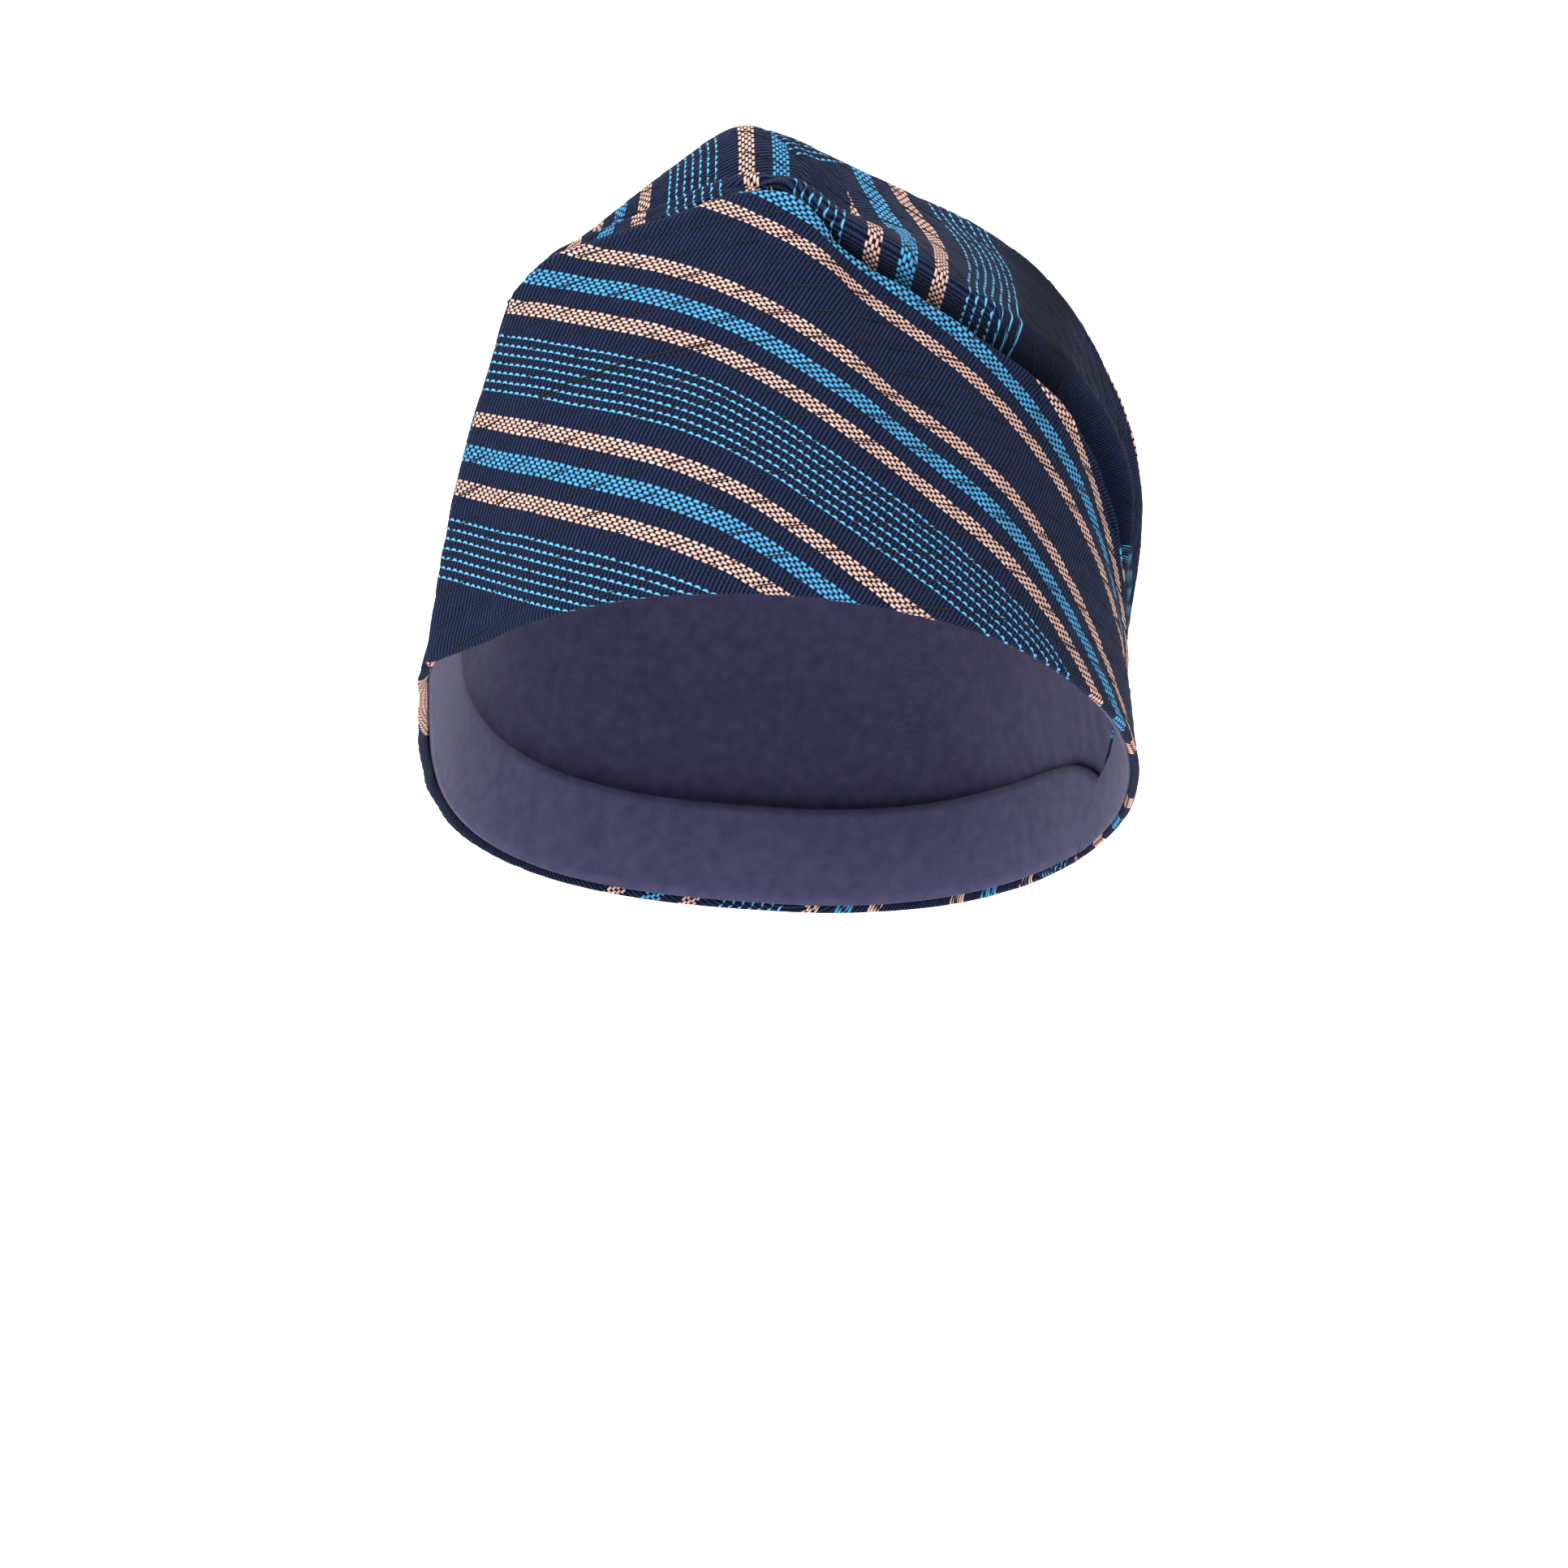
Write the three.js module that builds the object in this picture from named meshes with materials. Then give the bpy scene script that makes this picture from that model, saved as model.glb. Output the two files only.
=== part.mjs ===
// A striped aso oke fila: a soft cap of hand-woven cloth, as it sits on a head.
// Millimetres, +Z up, -Y is the front and +X the wearer's left. The origin is the middle of the head opening.
// The crown is a bag of two panels, which meet along the front ridge, in the pleat beside it and at two side
// seams.

import * as THREE from "three";

// Driving sizes of the hem
const HEM_WIDTH = 172;
const HEM_DEPTH = 196;
const HEM_PITCH = THREE.MathUtils.degToRad(22.5); // the front of the hem is high, the back low
const HEM_ROLL = THREE.MathUtils.degToRad(4); // the wearer's right is a little higher

// Driving sizes of the crown
const CROWN_WIDTH = 170;
const CROWN_DEPTH = 100;
const CROWN_HEIGHT = 150;
const FRONT_BELLY = 4;
const BACK_BULGE = 62;
const BACK_SLOPE = 14;
const SIDE_LEAN = 0.16;

// Cloth
const WALL = 2;
const SEAM_GAP = 0.3;
const PINCH = 0.55;
const CORNER_EASE = 2;
const PINCH_REACH = 0.08;
const BAND_WALL = 1;
const BAND_HEIGHT = 24;
const BAND_SETBACK = 1.5;

// Folds
const PLEAT_DEPTH = 20;
const PLEAT_MOUTH = 8;
const PLEAT_BULB = 4.6; // the pleat is this wide inside, between the middles of its two walls
const ROLL_HEIGHT = 10;
const VALLEY_DEPTH = 14;
const SEAM_FLARE = 6;

// Where the two side seams meet the hem, in degrees from the front towards the wearer's left
const RIGHT_TEMPLE_SEAM = -65;
const LEFT_REAR_SEAM = 118;

// How square each quarter of the hem oval is: 2 is an ellipse
const SQUARENESS = { frontRight: 2.05, frontLeft: 2, backLeft: 2.1, backRight: 2.8 };

// The tables below have a row for each section of the crown: at is the share of the way from the right temple
// seam to the left rear seam. Places are shares of CROWN_WIDTH / 2, CROWN_DEPTH / 2 and CROWN_HEIGHT.

// The ridge is the top edge of the front panel.
const RIDGE = [
  { at: 0.0, x: -0.73, y: -0.8, z: 0.71 },
  { at: 0.08, x: -0.64, y: -0.86, z: 0.76 },
  { at: 0.18, x: -0.49, y: -0.92, z: 0.79 },
  { at: 0.28, x: -0.31, y: -0.99, z: 0.825 },
  { at: 0.38, x: -0.1, y: -1.03, z: 0.868 },
  { at: 0.46, x: 0.05, y: -1.05, z: 0.86 },
  { at: 0.54, x: 0.17, y: -1.03, z: 0.79 },
  { at: 0.63, x: 0.37, y: -0.955, z: 0.728 },
  { at: 0.73, x: 0.57, y: -0.83, z: 0.655 },
  { at: 0.83, x: 0.75, y: -0.655, z: 0.582 },
  { at: 0.91, x: 0.853, y: -0.44, z: 0.492 },
  { at: 0.96, x: 0.925, y: -0.26, z: 0.387 },
  { at: 1.0, x: 0.95, y: -0.12, z: 0.3 },
];

// The crest is the top of the cloth behind the ridge. Its highest point is the cap's peak.
const CREST = [
  { at: 0.0, x: -0.69, y: -0.55, z: 0.725 },
  { at: 0.08, x: -0.59, y: -0.4, z: 0.785 },
  { at: 0.18, x: -0.47, y: -0.15, z: 0.85 },
  { at: 0.28, x: -0.31, y: 0.02, z: 0.93 },
  { at: 0.38, x: -0.12, y: 0.06, z: 1 },
  { at: 0.46, x: 0.02, y: 0.08, z: 0.985 },
  { at: 0.54, x: 0.17, y: 0.1, z: 0.945 },
  { at: 0.63, x: 0.36, y: 0.1, z: 0.895 },
  { at: 0.73, x: 0.56, y: 0.08, z: 0.84 },
  { at: 0.83, x: 0.75, y: 0.04, z: 0.755 },
  { at: 0.91, x: 0.905, y: 0, z: 0.62 },
  { at: 0.96, x: 1.02, y: 0.05, z: 0.44 },
  { at: 1.0, x: 0.97, y: 0.15, z: 0.3 },
];

// Each fold as a share of its own driving size: the pleat's depth and mouth, the roll's height and the
// valley's depth.
const FOLDS = [
  { at: 0.0, pleat: 0, mouth: 0.8, roll: 0.05, valley: 0 },
  { at: 0.08, pleat: 0, mouth: 0.8, roll: 0.05, valley: 0.1 },
  { at: 0.18, pleat: 0, mouth: 0.8, roll: 0.08, valley: 0.55 },
  { at: 0.28, pleat: 0, mouth: 0.8, roll: 0.08, valley: 0.9 },
  { at: 0.38, pleat: 0.05, mouth: 0.8, roll: 0.05, valley: 1 },
  { at: 0.46, pleat: 0.3, mouth: 0.65, roll: 0.05, valley: 0.9 },
  { at: 0.54, pleat: 0.65, mouth: 0.6, roll: 0.3, valley: 0.6 },
  { at: 0.63, pleat: 0.85, mouth: 0.58, roll: 0.35, valley: 0.15 },
  { at: 0.73, pleat: 1, mouth: 0.72, roll: 0.25, valley: 0 },
  { at: 0.83, pleat: 1, mouth: 0.85, roll: 0.25, valley: 0 },
  { at: 0.91, pleat: 0.85, mouth: 1.3, roll: 0.05, valley: 0 },
  { at: 0.96, pleat: 0.45, mouth: 1.4, roll: 0, valley: 0 },
  { at: 1.0, pleat: 0.1, mouth: 0.8, roll: 0, valley: 0 },
];

// How finely each sheet is meshed
const COLUMNS = 44;
const ROWS = 26;

const COLOURS = { cloth: 0x282c46, lining: 0x6f6d96 };

const up = new THREE.Vector3(0, 0, 1);
const radians = THREE.MathUtils.degToRad;
const mix = THREE.MathUtils.lerp;
const smooth = (x) => THREE.MathUtils.smoothstep(x, 0, 1);

// A point of the hem oval at an angle in degrees from the front, on the hem's tilted plane.
function hemPoint(degrees, flare = 0) {
  const across = Math.sin(radians(degrees));
  const along = -Math.cos(radians(degrees));
  const quarter = (along < 0 ? "front" : "back") + (across < 0 ? "Right" : "Left");
  const power = 2 / SQUARENESS[quarter];
  const halfWidth = HEM_WIDTH / 2 - WALL / 2;
  const halfDepth = HEM_DEPTH / 2 - WALL / 2;
  const point = new THREE.Vector3(
    Math.sign(across) * halfWidth * Math.abs(across) ** power - flare,
    Math.sign(along) * halfDepth * Math.abs(along) ** power,
    0,
  );
  point.applyAxisAngle(new THREE.Vector3(1, 0, 0), -HEM_PITCH);
  return point.applyAxisAngle(new THREE.Vector3(0, 1, 0), HEM_ROLL);
}

// Smooth value of one column of a table at a share of the way from seam to seam.
function column(table, name, at) {
  const last = table.length - 1;
  let k = 0;
  while (k < last - 1 && table[k + 1].at < at) k += 1;
  const rows = [k - 1, k, k + 1, k + 2].map((n) => table[THREE.MathUtils.clamp(n, 0, last)]);
  const span = rows[2].at - rows[1].at;
  const t = (at - rows[1].at) / span;
  const slope = (a, b) => (b.at === a.at ? 0 : ((b[name] - a[name]) / (b.at - a.at)) * span);
  const start = slope(rows[0], rows[2]);
  const end = slope(rows[1], rows[3]);
  const rise = rows[2][name] - rows[1][name];
  const bend = start + end - 2 * rise;
  return rows[1][name] + start * t + (3 * rise - 2 * start - end) * t * t + bend * t * t * t;
}

// A point of the crown from its table of places.
function crownPoint(table, at) {
  return new THREE.Vector3(
    (column(table, "x", at) * CROWN_WIDTH) / 2,
    (column(table, "y", at) * CROWN_DEPTH) / 2,
    column(table, "z", at) * CROWN_HEIGHT,
  );
}

// Guide points of one section: up the front, over the ridge, through the pleat and the valley, down the back.
function sectionGuides(at) {
  const flare = (reach) => SEAM_FLARE * Math.exp(-((at / reach) ** 2));
  const frontHem = hemPoint(mix(RIGHT_TEMPLE_SEAM, LEFT_REAR_SEAM, at), flare(0.04));
  const backHem = hemPoint(mix(RIGHT_TEMPLE_SEAM + 360, LEFT_REAR_SEAM, at), flare(0.07));
  const ridge = crownPoint(RIDGE, at);
  const crest = crownPoint(CREST, at);
  const inside = new THREE.Vector3(0, 0.35 * CROWN_DEPTH, 0.35 * CROWN_HEIGHT);

  // The front panel is nearly straight from hem to ridge, with a slight belly outwards
  const outward = new THREE.Vector3(ridge.x, ridge.y - inside.y, 0).normalize();
  const front = [0, 0.25, 0.5, 0.75, 0.94].map((t) =>
    frontHem.clone().lerp(ridge, t).addScaledVector(outward, FRONT_BELLY * Math.sin(Math.PI * t)),
  );

  // The ridge and the pleat: the cloth dives inwards by the pleat's depth and comes back out as the roll
  const over = crest.clone().sub(ridge).normalize();
  const inward = inside.clone().sub(ridge).normalize();
  const depth = PLEAT_DEPTH * column(FOLDS, "pleat", at);
  const mouth = PLEAT_MOUTH * column(FOLDS, "mouth", at);
  const lift = ROLL_HEIGHT * column(FOLDS, "roll", at);
  const across = over.clone().projectOnPlane(inward).normalize();
  const apart = over.clone().lerp(across, column(FOLDS, "pleat", at)).normalize();
  const fold = (along, dive, rise) => {
    const point = ridge.clone().addScaledVector(apart, along);
    return point.addScaledVector(inward, dive * depth).addScaledVector(up, rise);
  };
  const flap = fold(0.5 * mouth - 0.5 * PLEAT_BULB, 0.85, 0.2 * WALL);
  const pleat = fold(0.5 * mouth, 1, 0.3 * WALL);
  const underside = fold(0.5 * mouth + 0.5 * PLEAT_BULB, 0.85, 0.3 * WALL);
  const rollEdge = fold(1.05 * mouth, 0, 0.4 * WALL + 0.3 * lift);
  const rollTop = fold(1.4 * mouth, 0.1, 0.5 * WALL + lift);

  // The valley between the roll and the crest
  const valley = rollTop.clone().lerp(crest, 0.5);
  valley.z -= VALLEY_DEPTH * column(FOLDS, "valley", at);
  const climb = valley.clone().lerp(crest, 0.62);
  climb.z += 0.18 * VALLEY_DEPTH * column(FOLDS, "valley", at);

  // The back leaves the crest rearwards and comes down to the hem along the cap's own axis
  const reach = smooth(at / 0.2) * smooth((1 - at) / 0.2);
  const axis = new THREE.Vector3(0, Math.sin(HEM_PITCH), Math.cos(HEM_PITCH));
  const run = backHem.y - crest.y;
  const drop = crest.z - backHem.z;
  const rearwards = new THREE.Vector3(0, BACK_BULGE, -BACK_SLOPE);
  const shoulder = crest.clone().addScaledVector(rearwards, ((2 * run) / HEM_DEPTH) * reach);
  const wall = backHem.clone().addScaledVector(axis, 0.62 * drop * mix(0.5, 1, reach));
  wall.x *= 1 - SIDE_LEAN;
  const back = new THREE.CubicBezierCurve3(crest, shoulder, wall, backHem);
  const down = [0.25, 0.5, 0.75].map((t) => back.getPoint(t));

  return {
    front: [...front, ridge, flap, pleat],
    back: [underside, rollEdge, rollTop, valley, climb, crest, ...down, backHem],
  };
}

// Both sheets of one section, as ROWS + 1 points each, from hem to pleat and from pleat to hem.
function sectionSheets(at) {
  const { front, back } = sectionGuides(at);
  const line = new THREE.CatmullRomCurve3([...front, ...back], false, "centripetal");
  const split = (front.length - 1) / (front.length + back.length - 1);
  const steps = [...Array(ROWS + 1).keys()].map((row) => row / ROWS);
  return {
    front: steps.map((t) => line.getPoint(t * split)),
    back: steps.map((t) => line.getPoint(split + t * (1 - split))),
  };
}

// The middle surface of the whole bag. The back sheet closes onto the front one at both side seams.
function bagSurface() {
  const places = [...Array(COLUMNS + 1).keys()].map((i) => i / COLUMNS);
  const sheets = places.map(sectionSheets);
  const front = sheets.map((sheet) => sheet.front);
  const seams = [front[0].toReversed(), front[COLUMNS].toReversed()];
  const back = sheets.map((sheet, i) => {
    const fromRight = Math.sin((Math.PI / 2) * Math.min(1, places[i] / 0.1));
    const fromLeft = Math.sin((Math.PI / 2) * Math.min(1, (1 - places[i]) / 0.07));
    return sheet.back.map((point, row) => {
      const eased = seams[0][row].clone().lerp(point, fromRight);
      return seams[1][row].clone().lerp(eased, fromLeft);
    });
  });
  return { front, back };
}

// Outward normals at every point of both sheets, shared where the sheets meet.
function bagNormals({ front, back }) {
  const sums = new Map();
  const key = (point) => point.toArray().map((n) => n.toFixed(4)).join();
  const add = (corners) => {
    const normal = corners[2].clone().sub(corners[0]).cross(corners[3].clone().sub(corners[1]));
    corners.forEach((corner) => {
      const name = key(corner);
      if (!sums.has(name)) sums.set(name, new THREE.Vector3());
      sums.get(name).add(normal);
    });
  };
  for (const sheet of [front, back]) {
    for (let i = 0; i < COLUMNS; i += 1) {
      for (let j = 0; j < ROWS; j += 1) {
        add([sheet[i][j], sheet[i + 1][j], sheet[i + 1][j + 1], sheet[i][j + 1]]);
      }
    }
  }
  const read = (sheet) => sheet.map((line) => line.map((point) => sums.get(key(point)).clone().normalize()));
  return { front: read(front), back: read(back) };
}

// A closed wall between two like grids of points. A ring's last column joins its first.
function wallGeometry(outer, inner, ring = false) {
  const columns = outer.length;
  const rows = outer[0].length;
  const points = [...outer, ...inner].flat();
  const name = (side, i, j) => side * columns * rows + (i % columns) * rows + j;
  const faces = [];
  const quad = (a, b, c, d) => faces.push(a, b, c, a, c, d);
  const spans = ring ? columns : columns - 1;
  for (let i = 0; i < spans; i += 1) {
    for (let j = 0; j < rows - 1; j += 1) {
      quad(name(0, i, j), name(0, i + 1, j), name(0, i + 1, j + 1), name(0, i, j + 1));
      quad(name(1, i, j), name(1, i, j + 1), name(1, i + 1, j + 1), name(1, i + 1, j));
    }
    quad(name(0, i + 1, 0), name(0, i, 0), name(1, i, 0), name(1, i + 1, 0));
    const top = rows - 1;
    quad(name(0, i, top), name(0, i + 1, top), name(1, i + 1, top), name(1, i, top));
  }
  if (!ring) {
    const last = columns - 1;
    for (let j = 0; j < rows - 1; j += 1) {
      quad(name(0, 0, j), name(0, 0, j + 1), name(1, 0, j + 1), name(1, 0, j));
      quad(name(0, last, j + 1), name(0, last, j), name(1, last, j), name(1, last, j + 1));
    }
  }
  const geometry = new THREE.BufferGeometry();
  geometry.setAttribute("position", new THREE.Float32BufferAttribute(points.flatMap((p) => p.toArray()), 3));
  geometry.setIndex(faces);
  geometry.computeVertexNormals();
  return geometry;
}

// The seams pinch the cloth thinner where the pleat's seam runs into a side seam.
function pinch(i, j, seamRow) {
  const fromEnd = Math.min(i, COLUMNS - i) / COLUMNS;
  const fromSeam = Math.abs(j - seamRow) / ROWS;
  return 1 - PINCH * Math.exp(-((fromEnd / PINCH_REACH) ** 2) - (fromSeam / (2.5 * PINCH_REACH)) ** 2);
}

// A sheet's points with its seam edges drawn back by half the seam gap. The hem edge stays.
function drawnBack(sheet, seamRow) {
  const moved = sheet.map((line) => line.map((point) => point.clone()));
  const pull = (i, j, ni, nj) => {
    const towards = sheet[ni][nj].clone().sub(sheet[i][j]).normalize();
    const crowding = (1 - pinch(i, j, seamRow)) / PINCH;
    moved[i][j].addScaledVector(towards, (SEAM_GAP / 2) * (1 + CORNER_EASE * crowding));
  };
  const nextRow = seamRow === 0 ? 1 : ROWS - 1;
  for (let i = 0; i <= COLUMNS; i += 1) pull(i, seamRow, i, nextRow);
  for (let j = 0; j <= ROWS; j += 1) {
    pull(0, j, 1, j);
    pull(COLUMNS, j, COLUMNS - 1, j);
  }
  return moved;
}

// Points moved along their normals to one side of the wall, 1 for the outside and -1 for the inside.
function wallSide(sheet, normals, seamRow, side) {
  const distance = (i, j) => (side * WALL * pinch(i, j, seamRow)) / 2;
  return sheet.map((line, i) =>
    line.map((point, j) => point.clone().addScaledVector(normals[i][j], distance(i, j))),
  );
}

function clothPanel(name, sheet, normals, seamRow) {
  const middle = drawnBack(sheet, seamRow);
  const outer = wallSide(middle, normals, seamRow, 1);
  const inner = wallSide(middle, normals, seamRow, -1);
  const geometry = wallGeometry(outer, inner);
  const material = new THREE.MeshStandardMaterial({ color: COLOURS.cloth, roughness: 0.9, metalness: 0 });
  const mesh = new THREE.Mesh(geometry, material);
  mesh.name = name;
  return mesh;
}

// Point and normal at a length along a line that starts at the hem.
function alongLine(line, normals, length) {
  let left = length;
  let k = 0;
  while (k < line.length - 2 && left > line[k].distanceTo(line[k + 1])) {
    left -= line[k].distanceTo(line[k + 1]);
    k += 1;
  }
  const t = left / line[k].distanceTo(line[k + 1]);
  return {
    point: line[k].clone().lerp(line[k + 1], t),
    normal: normals[k].clone().lerp(normals[k + 1], t).normalize(),
  };
}

// The band lies inside the hem all the way round, one seam gap off the panels.
function liningBand(bag, normals) {
  const lines = [
    ...bag.front.map((line, i) => [line, normals.front[i]]),
    ...bag.back.map((line, i) => [line.toReversed(), normals.back[i].toReversed()]).toReversed().slice(1, -1),
  ];
  const heights = [0, 0.33, 0.67, 1].map((share) => BAND_SETBACK + share * BAND_HEIGHT);
  const near = WALL / 2 + SEAM_GAP;
  const band = (distance) =>
    lines.map(([line, lineNormals]) =>
      heights.map((height) => {
        const { point, normal } = alongLine(line, lineNormals, height);
        return point.addScaledVector(normal, -distance);
      }),
    );
  const geometry = wallGeometry(band(near), band(near + BAND_WALL), true);
  const material = new THREE.MeshStandardMaterial({ color: COLOURS.lining, roughness: 0.9, metalness: 0 });
  const mesh = new THREE.Mesh(geometry, material);
  mesh.name = "lining_band";
  return mesh;
}

const bag = bagSurface();
const normals = bagNormals(bag);

const cap = new THREE.Group();
cap.name = "fila_cap";
cap.add(clothPanel("front_panel", bag.front, normals.front, ROWS));
cap.add(clothPanel("back_panel", bag.back, normals.back, 0));
cap.add(liningBand(bag, normals));

export default cap;
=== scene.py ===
"""A striped aso oke fila cap, worn: thick hand-woven cloth, a high front, the crown folded over."""
import logging
import math
import random
from dataclasses import dataclass, field
from enum import Enum
from typing import Callable, Iterator, Sequence

import bmesh
import bpy
from mathutils import Matrix, Vector, noise


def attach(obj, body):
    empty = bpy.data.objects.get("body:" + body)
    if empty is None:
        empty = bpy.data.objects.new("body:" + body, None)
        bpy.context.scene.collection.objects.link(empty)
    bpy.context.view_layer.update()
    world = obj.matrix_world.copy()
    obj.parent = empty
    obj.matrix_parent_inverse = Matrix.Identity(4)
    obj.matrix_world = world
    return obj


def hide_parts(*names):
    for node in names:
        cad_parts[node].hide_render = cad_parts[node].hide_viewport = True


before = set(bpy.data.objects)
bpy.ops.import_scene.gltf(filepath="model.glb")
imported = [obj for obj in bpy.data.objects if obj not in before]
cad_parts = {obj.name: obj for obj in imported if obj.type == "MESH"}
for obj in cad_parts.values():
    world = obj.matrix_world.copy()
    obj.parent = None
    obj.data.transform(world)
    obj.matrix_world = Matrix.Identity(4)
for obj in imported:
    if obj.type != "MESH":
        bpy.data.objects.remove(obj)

LOG = logging.getLogger("fila")
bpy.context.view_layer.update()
MM = 0.001
Socket = bpy.types.NodeSocket
UP = Vector((0.0, 0.0, 1.0))
UV_NAME = "cloth"
UV_SPAN = 100.0
FULL_TURN = 360.0


class Panel(Enum):
    """The two cloth panels of the crown, by the name of the solid that each stands for."""

    FRONT = "front_panel"
    BACK = "back_panel"


@dataclass(frozen=True)
class Place:
    """A point of a seam-to-seam line, as shares of half the crown's width, half its depth and its height."""

    at: float
    x: float
    y: float
    z: float


@dataclass(frozen=True)
class Fold:
    """The folds of one section, as shares of the depth or height of each fold."""

    at: float
    pleat: float
    mouth: float
    roll: float
    valley: float


RIDGE = (
    Place(0.0, -0.73, -0.8, 0.71),
    Place(0.08, -0.64, -0.86, 0.76),
    Place(0.18, -0.49, -0.92, 0.79),
    Place(0.28, -0.31, -0.99, 0.825),
    Place(0.38, -0.1, -1.03, 0.868),
    Place(0.46, 0.05, -1.05, 0.86),
    Place(0.54, 0.17, -1.03, 0.79),
    Place(0.63, 0.37, -0.955, 0.728),
    Place(0.73, 0.57, -0.83, 0.655),
    Place(0.83, 0.75, -0.655, 0.582),
    Place(0.91, 0.853, -0.44, 0.492),
    Place(0.96, 0.925, -0.26, 0.387),
    Place(1.0, 0.95, -0.12, 0.3),
)

CREST = (
    Place(0.0, -0.69, -0.55, 0.725),
    Place(0.08, -0.59, -0.4, 0.785),
    Place(0.18, -0.47, -0.15, 0.85),
    Place(0.28, -0.31, 0.02, 0.93),
    Place(0.38, -0.12, 0.06, 1.0),
    Place(0.46, 0.02, 0.08, 0.985),
    Place(0.54, 0.17, 0.1, 0.945),
    Place(0.63, 0.36, 0.1, 0.895),
    Place(0.73, 0.56, 0.08, 0.84),
    Place(0.83, 0.75, 0.04, 0.755),
    Place(0.91, 0.905, 0.0, 0.62),
    Place(0.96, 1.02, 0.05, 0.44),
    Place(1.0, 0.97, 0.15, 0.3),
)

FOLDS = (
    Fold(0.0, 0.0, 0.8, 0.05, 0.0),
    Fold(0.08, 0.0, 0.8, 0.05, 0.1),
    Fold(0.18, 0.0, 0.8, 0.08, 0.55),
    Fold(0.28, 0.0, 0.8, 0.08, 0.9),
    Fold(0.38, 0.05, 0.8, 0.05, 1.0),
    Fold(0.46, 0.3, 0.65, 0.05, 0.9),
    Fold(0.54, 0.65, 0.6, 0.3, 0.6),
    Fold(0.63, 0.85, 0.58, 0.35, 0.15),
    Fold(0.73, 1.0, 0.72, 0.25, 0.0),
    Fold(0.83, 1.0, 0.85, 0.25, 0.0),
    Fold(0.91, 0.85, 1.3, 0.05, 0.0),
    Fold(0.96, 0.45, 1.4, 0.0, 0.0),
    Fold(1.0, 0.1, 0.8, 0.0, 0.0),
)


def smooth(value: float) -> float:
    """Ease a share from 0 to 1 with flat ends."""
    share = min(max(value, 0.0), 1.0)
    return share * share * (3.0 - 2.0 * share)


def eased(value: float, low: float, high: float) -> float:
    """Ease a value to 0 at low and 1 at high."""
    return smooth((value - low) / (high - low))


def bell(distance: float, reach: float) -> float:
    """A soft bump of height 1 that dies away over a reach."""
    return math.exp(-((distance / reach) ** 2))


def table_value(table: Sequence[Place] | Sequence[Fold], name: str, at: float) -> float:
    """Read a column of a table smoothly between its rows.

    Args:
        table: Rows in order of their at.
        name: The column.
        at: Share of the way from seam to seam.

    Returns:
        The column's value there.
    """
    last = len(table) - 1
    low = 0
    while low < last - 1 and table[low + 1].at < at:
        low += 1
    rows = [table[min(max(low + step, 0), last)] for step in (-1, 0, 1, 2)]
    values = [getattr(row, name) for row in rows]
    span = rows[2].at - rows[1].at
    share = (at - rows[1].at) / span

    def slope(first: int, second: int) -> float:
        """Slope of the column between two of the four rows, over one span."""
        gap = rows[second].at - rows[first].at
        return 0.0 if gap == 0.0 else (values[second] - values[first]) / gap * span

    start, end = slope(0, 2), slope(1, 3)
    rise = values[2] - values[1]
    return (
        values[1]
        + start * share
        + (3.0 * rise - 2.0 * start - end) * share**2
        + (start + end - 2.0 * rise) * share**3
    )


def running_lengths(points: Sequence[Vector]) -> list[float]:
    """Length from the first point to each point of a line."""
    lengths = [0.0]
    for first, second in zip(points, points[1:]):
        lengths.append(lengths[-1] + (second - first).length)
    return lengths


def meet(first: Vector, first_length: float, second: Vector, second_length: float) -> Vector:
    """Flat point at given distances from two points, on the right of the way from the first to the second.

    Args:
        first: One flat point.
        first_length: Distance from it.
        second: The other flat point.
        second_length: Distance from it.

    Returns:
        The point.
    """
    way = second - first
    base = way.length
    along = (first_length**2 - second_length**2 + base**2) / (2.0 * base)
    aside = math.sqrt(max(first_length**2 - along**2, 0.0))
    heading = way / base
    return first + heading * along + Vector((heading.y, -heading.x)) * aside


class GuideLine:
    """A smooth line through guide points, rounder at long spans and tighter at short ones."""

    def __init__(self, points: Sequence[Vector]) -> None:
        """Keep the guide points.

        Args:
            points: Points that the line passes through, in order.
        """
        first = points[0] * 2.0 - points[1]
        last = points[-1] * 2.0 - points[-2]
        self.points = [first, *points, last]
        self.spans = len(points) - 1

    def point(self, share: float) -> Vector:
        """Point of the line, with an equal share for each span between guides."""
        place = min(max(share, 0.0), 1.0) * self.spans
        index = min(int(place), self.spans - 1)
        weight = place - index
        p0, p1, p2, p3 = self.points[index : index + 4]
        d0, d1, d2 = (max((b - a).length, 1e-9) ** 0.5 for a, b in ((p0, p1), (p1, p2), (p2, p3)))
        start = ((p1 - p0) / d0 - (p2 - p0) / (d0 + d1) + (p2 - p1) / d1) * d1
        end = ((p2 - p1) / d1 - (p3 - p1) / (d1 + d2) + (p3 - p2) / d2) * d1
        bend = start + end - (p2 - p1) * 2.0
        lift = (p2 - p1) * 3.0 - start * 2.0 - end
        return p1 + start * weight + lift * weight**2 + bend * weight**3


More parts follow.
